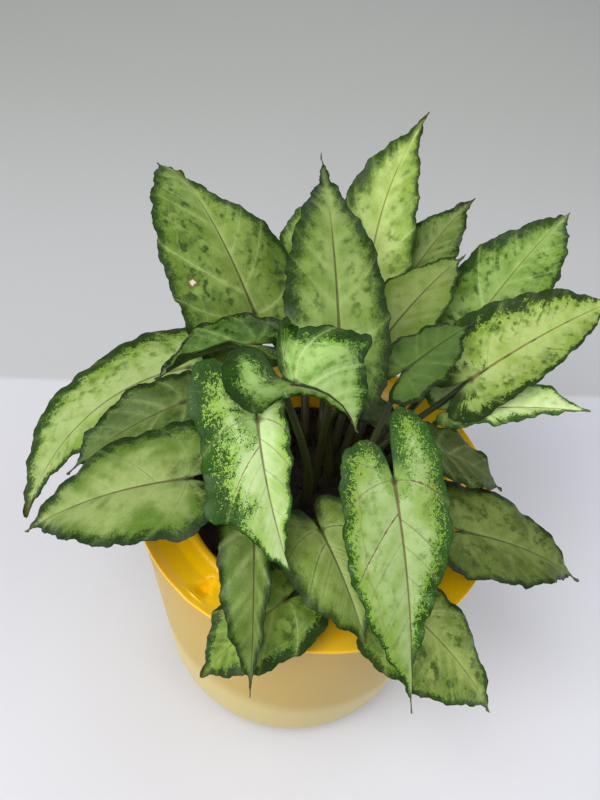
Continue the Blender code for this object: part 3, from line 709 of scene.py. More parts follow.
def leaf_material(name, look):
    """The upper face of a blade."""
    graph = Graph(name)
    along, across, seed = graph.attribute("flat")
    edge, ratio, share = graph.attribute("zone")
    phase = graph.attribute("vein")[0]
    station, aside, _ = graph.attribute("form")
    flat = graph.vector(along, across, seed)
    grain = graph.noise(flat, 2.6, 2.0, 0.6)
    speck = graph.noise(flat, 0.95, 3.0, 0.62)
    patch = graph.noise(flat, 0.33, 3.0, 0.55)
    broad = graph.noise(flat, 0.19, 2.0, 0.6)
    cloud = graph.noise(flat, 0.11)
    streak = graph.noise(graph.vector(phase * 3.2, aside * 0.16, seed), 1.0, 3.0, 0.6)
    line, zone, rib, beside = leaf_veins(graph, look, flat)
    deep = shaded(look.dark, 0.75)

    # Ground: pale along the midrib, darker in clouds and between the veins
    ground = share * 0.75 + (cloud - 0.5) * 1.1
    shade = broad.smooth(0.48, 0.62) * share.smooth(0.1, 0.5)
    between = abs(phase - round(phase)).smooth(0.12, 0.45) * cloud.smooth(0.4, 0.6)
    colour = graph.paint(
        look.pale,
        (ground.smooth(0.1, 0.75), look.mid),
        (patch.smooth(0.42, 0.62) * (0.15 + 0.3 * look.blotches), look.mid),
        (shade * (0.55 * look.blotches), look.dark),
        (between * 0.5, look.mid),
    )

    # Blotches between the veins, and fine specks over the whole blade
    streaky = 0.3 + 0.35 * look.fingers
    level = streak * streaky + patch * (1.1 - streaky)
    inside = share.smooth(0.12, 0.4)
    clear = 1.0 - graph.math("MAXIMUM", zone, beside)
    spots = level.smooth(0.58, 0.68) * inside * clear
    soft_spots = level.smooth(0.52, 0.66) * inside * clear
    pepper = (speck + (patch - 0.5) * 0.5).smooth(0.63, 0.70) * (1.0 - beside)
    colour = graph.paint(
        colour,
        (soft_spots * min(1.0, look.blotches * 1.1), look.mid),
        (soft_spots * (look.blotches * 0.55), look.dark),
        (spots * min(0.85, look.blotches), look.dark),
        (pepper * look.pepper, look.dark),
    )

    # Band along the margin: dark at the rim, then dark specks on a bright ground
    reach = ratio + (patch - 0.5) * (-1.5 * look.fingers) + (streak - 0.5) * (-2.4 * look.fingers)
    speckle = (grain - 0.5) * (-4.2 * look.specks) + (speck - 0.5) * (-3.6 * look.specks)
    band = (reach + speckle).smooth(BAND_REACH + look.soft, BAND_REACH - look.soft)
    from_join = graph.length(along, across)
    band = band * (1.0 - zone * 0.45) * from_join.smooth(2.0, 7.0, 0.15, 1.0)
    bright = reach.smooth(BAND_REACH + 0.7, BAND_REACH)
    colour = graph.paint(
        colour,
        (bright * (0.8 * look.specks), look.bright),
        (band * 0.94, graph.paint(look.dark, (cloud.smooth(0.35, 0.65), deep))),
    )

    # Veins over the ground, and a thin one that joins them inside the margin
    keep = 1.0 - band * 0.7
    collector = abs(share - 0.70).smooth(0.022, 0.006) * station.smooth(0.85, 0.5)
    colour = graph.paint(
        colour,
        (zone * look.halo_show * keep, look.halo),
        (beside * (0.5 * look.halo_show), look.halo),
        (line * look.vein_show * keep, look.vein),
        (collector * keep * (0.35 * look.vein_show), look.vein),
        (rib * RIB_SHOW, look.rib),
    )

    # Dark spot where the petiole shows through, thin dark edge and tip
    rim = (edge + grain * 0.5).smooth(0.75, 0.35)
    colour = graph.paint(
        colour,
        (from_join.smooth(1.9, 0.6) * 0.75, JOIN_COLOUR),
        (rim * 0.7, deep),
        (station.smooth(0.9, 1.0) * 0.55, TIP_COLOUR),
    )
    if look.scar:
        gap = graph.length(along - look.scar[0], across - look.scar[1]) + (speck - 0.5) * 2.2
        colour = graph.paint(
            colour, (gap.smooth(2.2, 1.4) * 0.8, SCAR_EDGE), (gap.smooth(1.2, 0.6), SCAR_MIDDLE)
        )

    # Fine net of the smallest veins, and the leaf's cells
    net = graph.cells(flat, 0.8).smooth(0.10, 0.0)
    skin = graph.noise(flat, 3.2)
    relief = net * -0.35 + skin * 0.3 - line * 0.8 - rib * 0.8
    rough = (skin + band * -0.2).smooth(0.2, 0.8, look.gloss - 0.06, look.gloss + 0.12)
    return graph.finish(
        BLADE_SCATTER, Base_Color=graph.paint(colour, (net * keep * 0.07, look.halo)),
        Roughness=rough, Normal=graph.bump(relief, 0.55, 0.00016), Specular_IOR_Level=0.16,
    )


def underside_material(name, look):
    """The lower face of a blade: matt, greyer, with raised pale veins."""
    graph = Graph(name)
    flat = graph.vector(*graph.attribute("flat"))
    ratio = graph.attribute("zone")[1]
    patch = graph.noise(flat, 0.3, 3.0)
    skin = graph.noise(flat, 2.6)
    line, zone, rib, _ = leaf_veins(graph, look, flat)
    net = graph.cells(flat, 0.62).smooth(0.10, 0.0)
    band = (ratio + (patch - 0.5) * -1.2).smooth(1.3, 0.7)
    paler = shaded(look.under, 1.18)
    colour = graph.paint(
        look.under,
        (patch.smooth(0.3, 0.7), shaded(look.under, 0.8)),
        (band * 0.4, look.dark),
        (zone * 0.25, paler),
        (line * 0.5, paler),
        (rib * 0.6, paler),
        (net * 0.15, paler),
    )
    normal = graph.bump(net * 0.4 + skin * 0.3 + line, 0.5, 0.0002)
    rough = skin.smooth(0.2, 0.8, 0.52, 0.68)
    return graph.finish(
        BLADE_SCATTER, Base_Color=colour, Roughness=rough, Normal=normal, Specular_IOR_Level=0.2
    )


def petiole_material():
    """Olive green, darker than a petiole's own pale green as painted shade inside the plant, redder
    in places, with fine darker ribs.
    """
    graph = Graph("petiole")
    along, around, seed = graph.attribute("flat")
    flat = graph.vector(along, around, seed)
    height = along * 0.012 + (graph.noise(flat, 0.12, 3.0) - 0.5) * 0.8
    ribs = graph.noise(graph.vector(along * 0.06, around * 2.2, seed), 1.6)
    colour = graph.paint(
        PETIOLE_FOOT,
        (height.smooth(0.1, 0.6), PETIOLE_GREEN),
        (graph.noise(flat, 0.05, 1.0).smooth(0.48, 0.66) * 0.45, PETIOLE_RED),
        (ribs.smooth(0.5, 0.7) * 0.3, PETIOLE_RIB),
    )
    return graph.finish(
        (0.2, (1.0, 0.9, 0.4), 0.001), Base_Color=colour,
        Roughness=ribs.smooth(0.2, 0.8, 0.34, 0.5), Normal=graph.bump(ribs, 0.4, 0.0002),
    )


def frosted_material():
    """Cream frosted plastic that lets the insert show through softly. Below the insert it is paler,
    partly with painted light bounced from the floor, and round the foot it is darker with painted
    shade.
    """
    graph = Graph("frosted_plastic")
    place = graph.place()
    height = graph.split(place)[2]
    fine = graph.noise(place, 2.5, 3.0)
    level = height + (graph.noise(place, 0.02) - 0.5) * 8.0
    # Paler where nothing is behind the wall, partly painted light from the floor; tan where the cup
    # shows through; painted shade round the foot
    colour = graph.paint(
        FROSTED_EMPTY_LIT,
        (level.smooth(34.0, 52.0), FROSTED_CUP),
        (level.smooth(78.0, 114.0), FROSTED_TOP),
        (height.smooth(9.0, 0.0) * 0.5, FROSTED_FOOT_SHADE),
    )
    return graph.finish(
        (0.6, (1.0, 0.75, 0.4), 0.004), Base_Color=colour, Specular_IOR_Level=0.12,
        Roughness=fine.smooth(0.3, 0.7, 0.34, 0.42), Normal=graph.bump(fine, 0.12, 0.0001),
    )


def yellow_material():
    """Glossy moulded plastic with faint flow marks and a few fine scratches."""
    graph = Graph("yellow_plastic")
    place = graph.place()
    cloud = graph.noise(place, 0.03)
    grain = graph.noise(place, 3.0)
    inputs = {"Vector": place, "Rotation": (0.0, 0.0, 0.6), "Scale": (0.05, 1.6, 1.0)}
    marks = graph.noise(graph.node("Mapping", 0, inputs), 5.0).smooth(0.68, 0.74)
    return graph.finish(
        (0.25, (1.0, 0.6, 0.1), 0.002),
        Base_Color=graph.paint(YELLOW, (cloud.smooth(0.35, 0.65), YELLOW_DEEP)),
        Roughness=grain.smooth(0.3, 0.7, 0.26, 0.32) + marks * 0.12,
        Normal=graph.bump(cloud + grain * 0.05, 0.08, 0.0006),
        Specular_IOR_Level=0.35, Coat_Weight=0.12, Coat_Roughness=0.2,
    )


def soil_material():
    """Dark damp peat, made darker still with painted shade from the leaves over it, with paler
    crumbs and a little shine on the wet ones.
    """
    graph = Graph("potting_soil")
    place = graph.place()
    grain = graph.noise(place, 0.8, 4.0, 0.7)
    patch = graph.noise(place, 0.15, 3.0)
    # Near-black ground: damp peat darkened with painted shade
    colour = graph.paint(
        SOIL_WET_SHADED, (patch.smooth(0.35, 0.65), SOIL_DAMP_SHADED), (grain.smooth(0.62, 0.74), SOIL_PALE)
    )
    return graph.finish(
        Base_Color=colour, Roughness=patch.smooth(0.35, 0.65, 0.7, 0.95),
        Normal=graph.bump(grain, 0.9, 0.0008), Specular_IOR_Level=0.3,
    )


def cotton_material():
    """Undyed cotton with fine fibres, damp at the foot."""
    graph = Graph("cotton")
    place = graph.place()
    fibre = graph.noise(place, 2.8, 4.0, 0.7)
    wet = graph.split(place)[2].smooth(60.0, 20.0)
    colour = graph.paint(
        COTTON, (fibre.smooth(0.3, 0.7), COTTON_SHADE), (wet * 0.4, COTTON_WET)
    )
    normal = graph.bump(fibre, 0.8, 0.0004)
    return graph.finish(Base_Color=colour, Roughness=0.9, Normal=normal, Sheen_Weight=0.2)


def floor_material():
    """A plain pale surface, and a grey one beyond the line behind the plant, with painted shade
    that darkens the grey further back.
    """
    graph = Graph("floor")
    place = graph.place()
    x, y, _ = graph.split(place)
    slope = (LINE_RIGHT[1] - LINE_LEFT[1]) / (LINE_RIGHT[0] - LINE_LEFT[0])
    beyond = x * -slope + y - (LINE_LEFT[1] - LINE_LEFT[0] * slope)
    cloud = graph.noise(place, 0.004).smooth(0.3, 0.7)
    pale = graph.paint(FLOOR_PALE, (cloud, shaded(FLOOR_PALE, 0.985)))
    # Painted shade: the grey darkens from the line out to its reach
    far = graph.paint(FLOOR_GREY_NEAR, (beyond.smooth(0.0, GREY_SHADE_REACH), FLOOR_GREY_FAR_SHADED))
    return graph.finish(
        Base_Color=graph.paint(pale, (beyond.smooth(-LINE_SOFTNESS, LINE_SOFTNESS), far)),
        Normal=graph.bump(graph.noise(place, 0.6, 3.0), 0.05, 0.0005),
        Roughness=0.7, Specular_IOR_Level=0.25,
    )


def unit(vector):
    return vector / np.linalg.norm(vector)


def clamp(value):
    """A value kept between 0 and 1."""
    return np.clip(value, 0.0, 1.0)


def sample(at, stations, rows):
    """The rows of three values at some places between the stations."""
    return np.stack([np.interp(at, stations, rows[:, axis]) for axis in range(3)], axis=-1)


def lengths(rows):
    return np.linalg.norm(rows, axis=1)


def ring_points(radius, height, turn):
    """Points on a level ring about the pot's axis."""
    heights = np.broadcast_to(height, turn.shape)
    return np.stack([radius * np.cos(turn), radius * np.sin(turn), heights], axis=1)


def ring_faces(rings, sides, inwards=False):
    """Faces between rings of points, and one at each end."""
    faces = []
    for k in range(rings - 1):
        for side in range(sides):
            a = k * sides + side
            b = k * sides + (side + 1) % sides
            faces.append((a, a + sides, b + sides, b) if inwards else (a, b, b + sides, a + sides))
    first = tuple(range(sides))
    last = tuple(range((rings - 1) * sides, rings * sides))
    faces += [first, last[::-1]] if inwards else [first[::-1], last]
    return faces


def axes_along(direction, roll=0.0):
    """Axes along a direction, to its left and upwards, rolled about the first."""
    ahead = unit(direction)
    level = unit(np.array([0.0, 0.0, 1.0]) - ahead * ahead[2])
    upwards = math.cos(roll) * level - math.sin(roll) * np.cross(level, ahead)
    return np.stack([ahead, np.cross(upwards, ahead), upwards])


def midrib(leaf):
    """The midrib as a curve with its own frame: stations, points, directions, length."""
    s = np.linspace(LONGEST_LOBE, 1.0, MIDRIB_SAMPLES)
    ahead = clamp(s)
    behind = clamp(-s)
    pitch = -leaf.arch * ahead - leaf.hook * ahead ** 4 + leaf.drop * behind / DROP_SPAN
    pitch = np.radians(pitch)
    heading = np.radians(-leaf.side * s - leaf.sweep * clamp(behind / SWEEP_SPAN))
    tangent = np.stack(
        [np.cos(pitch) * np.cos(heading), np.cos(pitch) * np.sin(heading), np.sin(pitch)], axis=1
    )
    side = np.stack([-np.sin(heading), np.cos(heading), np.zeros_like(s)], axis=1)
    up = np.cross(tangent, side)
    step = s[1] - s[0]
    point = np.cumsum(tangent, axis=0) * step
    point = point - sample(0.0, s, point)
    # Turn and stretch the curve so that its ends fall on the join and the tip
    join = np.array(leaf.join, float)
    chord = np.array(leaf.tip, float) - join
    turn = axes_along(point[-1]).T @ axes_along(chord, math.radians(leaf.roll))
    length = np.linalg.norm(chord) / np.linalg.norm(point[-1])
    point = point @ turn * length + join
    return s, point, tangent @ turn, side @ turn, up @ turn, length


def on_blade(leaf, rib, along, across, edge):
    """World points of the blade for flat lengths along and across the midrib."""
    s, point, _, side, up, length = rib
    at = along / length
    left = across >= 0.0
    half = np.where(left, *leaf.width)
    vee = np.radians(np.where(left, *leaf.vee))
    cup = np.radians(np.where(left, *leaf.cup))
    cup = np.where(np.abs(cup) < LEAST_CUP, LEAST_CUP, cup)
    front = clamp((at - FOLD_START) / FOLD_SPAN)
    vee = vee + np.radians(np.where(left, *leaf.fold)) * front
    slope = vee + cup * np.abs(across) / half
    out = (np.sin(slope) - np.sin(vee)) * half / cup
    rise = (np.cos(vee) - np.cos(slope)) * half / cup
    start = leaf.foot[0] + np.where(left, 0.0, 2.0)
    rise = rise + WAVE_HEIGHT * np.sin(2.0 * math.pi * WAVES * at + start) * edge ** 2
    ruffle = np.sin(2.0 * math.pi * along / RUFFLE_LENGTH + 2.0 * start)
    swell = np.sin(along / RUFFLE_SWELL_LENGTH + start)
    ruffle = ruffle * (1.0 - RUFFLE_SWELL + RUFFLE_SWELL * swell)
    rise = rise + RUFFLE_HEIGHT * ruffle * edge ** 4
    out = np.where(left, out, -out)[..., None]
    return sample(at, s, point) + sample(at, s, side) * out + sample(at, s, up) * rise[..., None]


def smooth_rows(rows, steps):
    """Points on a smooth curve through the rows, with steps from each to the next."""
    rows = np.array(rows, float)
    before = np.concatenate([[2 * rows[0] - rows[1]], rows[:-1]])
    after = np.concatenate([rows[1:], [2 * rows[-1] - rows[-2]]])
    slope = (after - before) / 2.0
    points = []
    for k in range(len(rows) - 1):
        for step in range(steps):
            t = step / steps
            points.append(
                rows[k] * (2 * t ** 3 - 3 * t ** 2 + 1)
                + slope[k] * (t ** 3 - 2 * t ** 2 + t)
                + rows[k + 1] * (3 * t ** 2 - 2 * t ** 3)
                + slope[k + 1] * (t ** 3 - t ** 2)
            )
    points.append(rows[-1])
    return np.array(points)


def crinkled(line, seed):
    """A margin with small waves to either side, which fade out at both ends."""
    arc = np.concatenate([[0.0], np.cumsum(lengths(np.diff(line, axis=0)))])
    tangent = np.gradient(line, axis=0)
    tangent /= lengths(tangent)[:, None]
    outwards = np.stack([-tangent[:, 1], tangent[:, 0]], axis=1)
    push = np.zeros(len(line))
    for number, (wave, height) in enumerate(CRINKLE_WAVES):
        turn = 2.0 * math.pi * arc / wave + seed * (number + 1.7)
        push += height * np.sin(turn + 1.3 * np.sin(arc / (1.6 * wave) + seed))
    fade = clamp(arc / CRINKLE_FADES[0]) * clamp((arc[-1] - arc) / CRINKLE_FADES[1])
    return line + outwards * (push * fade)[:, None]


def distance_to_line(points, line):
    """The shortest distance from each point to a line of straight steps."""
    start = line[:-1]
    step = line[1:] - start
    squared = np.maximum((step ** 2).sum(axis=1), 1e-12)
    nearest = np.full(len(points), 1e9)
    for k in range(len(start)):
        offset = points - start[k]
        share = clamp(offset @ step[k] / squared[k])
        gap = offset - share[:, None] * step[k]
        nearest = np.minimum(nearest, (gap ** 2).sum(axis=1))
    return np.sqrt(nearest)


def vein_reach(place, y, length, width):
    """How far forward a lateral vein from a place on the midrib is, y mm out from it."""
    slant = np.interp(place, SLANT_PLACES, SLANTS)
    bend = np.interp(place, BEND_PLACES, BENDS) / width
    return np.clip(place, 0.0, None) * length + y * slant + y ** 2 * bend


def vein_field(x, y, length, width, turn):
    """For flat places in one half: the phase, which is whole on each lateral
    vein, the gap between two of them in mm, and how strongly they show.

    Turn is an angle that makes each half of each leaf a little different.
    """
    place = np.linspace(SLANT_PLACES[0], SLANT_PLACES[-1], VEIN_SAMPLES)
    reach = vein_reach(place, y[:, None], length, width)
    after = np.clip((reach < x[:, None]).sum(axis=1), 1, len(place) - 1)
    rows = np.arange(len(x))
    low = reach[rows, after - 1]
    high = reach[rows, after]
    share = clamp((x - low) / np.maximum(high - low, 1e-6))
    own = place[after - 1] + share * (place[1] - place[0])
    number = np.arange(len(VEIN_PLACES))
    shift = np.where(np.array(VEIN_PLACES) > 0.05, VEIN_SHIFT, 0.0)
    veins = np.array(VEIN_PLACES) + shift * np.sin(turn + 2.1 * number)
    phase = np.interp(own, veins, number)
    uneven = 1.0 + VEIN_UNEVEN * np.sin(1.7 * turn + 2.6 * number)
    strength = np.interp(phase, number, np.array(VEIN_STRENGTHS) * uneven)
    below = np.clip(np.floor(phase).astype(int), 0, len(veins) - 2)
    near, far = (vein_reach(veins[which], y, length, width) for which in (below, below + 1))
    apart = np.maximum(far - near, 0.0)
    slope = np.interp(own, SLANT_PLACES, SLANTS)
    slope = slope + 2.0 * y * np.interp(own, BEND_PLACES, BENDS) / width
    spacing = apart / np.sqrt(1.0 + slope ** 2)
    return phase, spacing, strength * clamp(spacing / VEIN_ROOM)


def half_sheet(leaf, rib, hand, look, seed):
    """One half of a blade as a grid of rows and columns, with its fields."""
    steps = FINE_STEPS if look.fine else PLAIN_STEPS
    columns = FINE_COLUMNS if look.fine else PLAIN_COLUMNS
    length = rib[-1]
    sign = 1.0 if hand == 0 else -1.0
    spine = smooth_rows(SPINE, steps)
    margin = smooth_rows(SQUARE_MARGIN if leaf.square[hand] else MARGIN, steps)
    spine[SLIT_ROWS * steps:, 1] = 0.0
    spine[:, 1] = np.maximum(spine[:, 1], 0.0)
    margin[:, 1] = np.maximum(margin[:, 1], 0.0)

    def flat(outline):
        x = np.where(outline[:, 0] < 0.0, outline[:, 0] * leaf.lobe[hand], outline[:, 0] * length)
        power = 1.0 + (leaf.taper[hand] - 1.0) * clamp(outline[:, 0] / TAPER_START)
        y = outline[:, 1] ** power * leaf.width[hand]
        y = y * (1.0 + (leaf.back[hand] - 1.0) * clamp(1.0 - outline[:, 0] / BACK_SPAN))
        return np.stack([x, y], axis=1)

    spine = flat(spine)
    margin = crinkled(flat(margin), seed + 3.0 * hand)
    margin[-1] = spine[-1]
    margin[:, 1] = np.maximum(margin[:, 1], spine[:, 1])
    even = np.linspace(0.0, 1.0, columns)
    share = 0.5 * even + 0.25 * (1.0 - np.cos(math.pi * even))
    x = spine[:, 0, None] + (margin[:, 0] - spine[:, 0])[:, None] * share
    y = spine[:, 1, None] + (margin[:, 1] - spine[:, 1])[:, None] * share
    across = sign * np.maximum(y, 1e-6)
    share = np.broadcast_to(share, x.shape)
    points = on_blade(leaf, rib, x, across, share)
    outline = np.concatenate([spine[:SLIT_ROWS * steps + 1][::-1], margin])
    places = np.stack([x.ravel(), y.ravel()], axis=1)
    edge = distance_to_line(places, outline).reshape(x.shape)
    stations = [row[0] for row in look.band]
    widths = [row[1 + hand] for row in look.band]
    station = x / length
    ratio = edge / np.interp(station, stations, widths)
    phase, spacing, fade = vein_field(
        x.ravel(), y.ravel(), length, leaf.width[hand], 2.3 * seed + 1.9 * hand
    )
    rib_half = look.rib_width * np.interp(station, RIB_PLACES, RIB_WIDTHS)
    return {
        "points": points,
        "flat": np.stack([x, across, np.full_like(x, 11.0 * seed)], axis=-1),
        "zone": np.stack([edge, ratio, share], axis=-1),
        "vein": np.stack([f.reshape(x.shape) for f in (phase, spacing, fade)], axis=-1),
        "form": np.stack([station, y, rib_half], axis=-1),
    }


def blade(leaf, rib, look, seed):
    """A blade as a closed thin sheet: points, faces, kind of each face, fields."""
    halves = [half_sheet(leaf, rib, hand, look, seed) for hand in range(2)]
    rows, columns = halves[0]["points"].shape[:2]
    steps = (rows - 1) // (len(SPINE) - 1)
    slit = SLIT_ROWS * steps
    index = np.zeros((2, rows, columns), int)
    index[0] = np.arange(rows * columns).reshape(rows, columns)
    index[1] = index[0] + rows * columns
    index[1, slit:, 0] = index[0, slit:, 0]
    index[:, -1, :] = index[0, -1, 0]
    used, index = np.unique(index, return_inverse=True)
    index = index.reshape(2, rows, columns)
    everything = {
        key: np.concatenate([half[key].reshape(-1, 3) for half in halves])[used]
        for key in ("points", *FIELDS)
    }
    quads = []
    for hand in range(2):
        grid = index[hand]
        corners = [grid[:-1, :-1], grid[1:, :-1], grid[1:, 1:], grid[:-1, 1:]]
        if hand == 1:
            corners.reverse()
        quads.append(np.stack([c.ravel() for c in corners], axis=1))
    quads = np.concatenate(quads)
    points = everything["points"]
    facing = face_normals(points, quads)
    zone = everything["zone"]
    phase, spacing, fade = everything["vein"].T
    aside = everything["form"][:, 1]
    station = everything["form"][:, 0]
    middle = clamp(4.0 * zone[:, 2] * (1.0 - zone[:, 2]))
    swell = 0.5 - 0.5 * np.cos(2.0 * math.pi * phase)
    lift = PUCKER * swell * fade * middle * clamp(spacing / PUCKER_ROOM)
    in_front = clamp(station / GROOVE_FADES[0]) * clamp((1.0 - station) / GROOVE_FADES[1])
    groove = np.exp(-(aside / GROOVE_WIDTH) ** 2) * in_front
    lift = lift - GROOVE_DEPTH * groove
    inward = clamp(zone[:, 0] / EDGE_SPAN)
    thick = EDGE_THICKNESS + (BLADE_THICKNESS - EDGE_THICKNESS) * inward
    near_vein = np.abs(phase - np.round(phase)) * spacing
    ridge = LATERAL_RIDGE * np.exp(-(near_vein / LATERAL_RIDGE_WIDTH) ** 2) * fade * middle
    top = points + facing * (lift + thick / 2.0)[:, None]
    bottom = points + facing * (lift - thick / 2.0 - ridge)[:, None]
    count = len(points)
    faces = [clean(face) for face in quads.tolist()]
    faces += [tuple(v + count for v in reversed(face)) for face in faces]
    kinds = [0] * len(quads) + [1] * len(quads)
    for hand in range(2):
        grid = index[hand]
        border = [*grid[slit:0:-1, 0], *grid[0, :-1], *grid[:, -1]]
        if hand == 1:
            border.reverse()
        for a, b in zip(border[:-1], border[1:]):
            faces.append((b, a, a + count, b + count))
            kinds.append(0)
    fields = {key: np.concatenate([everything[key]] * 2) for key in FIELDS}
    return np.concatenate([top, bottom]), faces, kinds, fields


def clean(face):
    """A face without the corners that come twice."""
    return tuple(c for n, c in enumerate(face) if c not in face[:n])


def face_normals(points, quads):
    """A direction for each point, from the faces round it."""
    first = points[quads[:, 2]] - points[quads[:, 0]]
    second = points[quads[:, 3]] - points[quads[:, 1]]
    area = np.cross(first, second)
    facing = np.zeros_like(points)
    for corner in range(4):
        np.add.at(facing, quads[:, corner], area)
    return facing / lengths(facing)[:, None]


def soil_radius(height):
    """The soil's radius inside the cup at a height."""
    low = CUP_FLOOR_HEIGHT + CUP_CORNER
    share = (height - low) / (POT_HEIGHT - CUP_TOP_DROP - low)
    wall = CUP_FLOOR_RADIUS + (CUP_TOP_RADIUS - CUP_WALL - CUP_FLOOR_RADIUS) * share
    return wall - FIT_GAP


def soil_height(x, y):
    """The soil's surface: a low crown with small lumps."""
    radius = min(1.0, math.hypot(x, y) / soil_radius(SOIL_EDGE_HEIGHT))
    lumps = math.sin(0.31 * x + 1.0) * math.sin(0.27 * y + 0.4) + 0.6 * math.sin(0.22 * (x - y))
    crown = SOIL_CROWN * (1.0 - radius ** 2)
    return SOIL_EDGE_HEIGHT + crown + SOIL_LUMP * lumps * (1.0 - radius ** 4)


def petiole_path(leaf, rib):
    """Points and radii from the foot in the soil, up to the blade and along its rib."""
    s, point, tangent, _, up, _ = rib
    level = soil_height(*leaf.foot)
    foot = np.array([*leaf.foot, level + PETIOLE_RISE])

    def under(at, depth):
        return sample(at, s, point) - sample(at, s, up) * depth

    neck = under(0.0, PETIOLE_NECK_RADIUS)
    meet = math.radians(leaf.meet)
    arrive = sample(0.0, s, tangent) * math.cos(meet) + sample(0.0, s, up) * math.sin(meet)
    reach = np.linalg.norm(neck - foot) * PETIOLE_BOW
    bow = np.array([*leaf.lean, 0.0])
    first = foot + np.array([0.0, 0.0, reach]) + bow
    second = neck - arrive * reach + bow
    bottom = np.array([*leaf.foot, level - HOLE_DEPTH + FIT_GAP])
    path = [bottom, foot - np.array([0.0, 0.0, PETIOLE_COLLAR_HEIGHT]), foot]
    shares = (PETIOLE_SOCKET_SHARE, PETIOLE_SOCKET_SHARE, PETIOLE_COLLAR_SHARE)
    radii = [PETIOLE_FOOT_RADIUS * share for share in shares]
    for k in range(1, PETIOLE_STEPS + 1):
        t = k / PETIOLE_STEPS
        r = 1.0 - t
        place = foot * r ** 3 + first * 3 * r * r * t + second * 3 * r * t * t + neck * t ** 3
        path.append(place)
        sheath = SHEATH * PETIOLE_FOOT_RADIUS * max(0.0, 1.0 - t / SHEATH_END)
        radii.append(PETIOLE_FOOT_RADIUS + (PETIOLE_NECK_RADIUS - PETIOLE_FOOT_RADIUS) * t + sheath)
    for at, radius in RIB_STATIONS:
        path.append(under(at, radius - BLADE_THICKNESS / 4 + RIB_SINK))
        radii.append(radius)
    return np.array(path), np.array(radii)


def tube(path, radii, sides, ribs=0, rib_height=0.0, twist=0.0):
    """A closed tube round a path: points, faces, distance along, turn around."""
    step = np.diff(path, axis=0)
    length = lengths(step)
    arc = np.concatenate([[0.0], np.cumsum(length)])
    step /= length[:, None]
    tangent = np.concatenate([step[:1], step[:-1] + step[1:], step[-1:]])
    tangent /= lengths(tangent)[:, None]
    across = np.cross(tangent[0], [0.0, 1.0, 0.0])
    turn = 2.0 * math.pi * np.arange(sides) / sides
    points = []
    flat = []
    for k in range(len(path)):
        across = unit(across - tangent[k] * (across @ tangent[k]))
        second = np.cross(tangent[k], across)
        own = radii[k] * (1.0 + rib_height * np.cos(ribs * turn + twist * arc[k]))
        points.append(
            path[k]
            + across * (own * np.cos(turn))[:, None]
            + second * (own * np.sin(turn))[:, None]
        )
        flat.append(np.stack([np.full(sides, arc[k]), radii[0] * np.abs(turn - math.pi)], axis=1))
    return np.concatenate(points), ring_faces(len(path), sides), np.concatenate(flat)


def new_object(name, data):
    thing = bpy.data.objects.new(name, data)
    bpy.context.scene.collection.objects.link(thing)
    return thing


def new_piece(name, points, faces, materials, kinds=None, sharp=60.0):
    mesh = bpy.data.meshes.new(name)
    mesh.from_pydata((points * MM).tolist(), [], faces)
    for material in materials:
        mesh.materials.append(material)
    if kinds is not None:
        mesh.polygons.foreach_set("material_index", np.array(kinds, dtype=np.int32))
    mesh.shade_smooth()
    mesh.set_sharp_from_angle(angle=math.radians(sharp))
    mesh.update()
    return new_object(name, mesh)


def stand_for(piece, node):
    """The piece rides on the part's one body and takes the place of a node."""
    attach(piece, "root")
    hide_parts(node)


def make_leaf(leaf, number, petiole):
    look = toned(LOOKS[leaf.name])
    seed = 1.0 + number
    rib = midrib(leaf)
    points, faces, kinds, fields = blade(leaf, rib, look, seed)
    path, radii = petiole_path(leaf, rib)
    stem, stem_faces, stem_flat = tube(path, radii, PETIOLE_SIDES)
    count = len(points)
    faces += [tuple(v + count for v in face) for face in stem_faces]
    kinds += [2] * len(stem_faces)
    points = np.concatenate([points, stem])
    fields["flat"] = np.concatenate(
        [fields["flat"], np.column_stack([stem_flat, np.full(len(stem), 7.0 * seed)])]
    )
    blank = np.tile(PETIOLE_BLANK, (len(stem), 1))
    for key in ("zone", "vein", "form"):
        fields[key] = np.concatenate([fields[key], blank])
    materials = [
        leaf_material(leaf.name + "_top", look),
        underside_material(leaf.name + "_under", look),
        petiole,
    ]
    piece = new_piece(leaf.name + "_look", points, faces, materials, kinds)
    for key in FIELDS:
        stored = piece.data.attributes.new(key, "FLOAT_VECTOR", "POINT")
        stored.data.foreach_set("vector", fields[key].astype(np.float32).ravel())
    stand_for(piece, leaf.name)


def rounded(profile, radius, steps=4):
    """A closed profile with its corners rounded off, but not those on the axis."""
    points = []
    count = len(profile)
    for k, corner in enumerate(profile):
        corner = np.array(corner, float)
        before = np.array(profile[k - 1], float) - corner
        after = np.array(profile[(k + 1) % count], float) - corner
        reach = min(radius, 0.4 * np.linalg.norm(before), 0.4 * np.linalg.norm(after))
        if corner[0] == 0.0 or reach < 0.02:
            points.append(tuple(corner))
            continue
        start = corner + unit(before) * reach
        end = corner + unit(after) * reach
        for step in range(steps + 1):
            t = step / steps
            bent = start * (1 - t) ** 2 + corner * 2 * t * (1 - t) + end * t ** 2
            points.append(tuple(bent))
    return points


def turned(name, profile, material, sides, move=None, sharp=40.0):
    """A solid turned about the pot's axis from a closed profile of (radius, height)."""
    rings = []
    points = []
    for radius, height in profile:
        if radius == 0.0:
            rings.append([len(points)] * sides)
            points.append((0.0, 0.0, height))
            continue
        ring = []
        for side in range(sides):
            turn = 2.0 * math.pi * side / sides
            place = np.array([radius * math.cos(turn), radius * math.sin(turn), height])
            if move:
                place = place + move(360.0 * side / sides, radius, height)
            ring.append(len(points))
            points.append(tuple(place))
        rings.append(ring)
    faces = []
    for k, ring in enumerate(rings):
        below = rings[(k + 1) % len(rings)]
        for side in range(sides):
            after = (side + 1) % sides
            face = clean((ring[side], below[side], below[after], ring[after]))
            if len(face) > 2:
                faces.append(face)
    return new_piece(name, np.array(points), faces, [material], sharp=sharp)


def outer_radius(height):
    """The outer pot's outside radius at a height above its rounded foot."""
    top = POT_RADIUS - OUTER_TOP_INSET
    return POT_BASE_RADIUS + (top - POT_BASE_RADIUS) * height / POT_HEIGHT


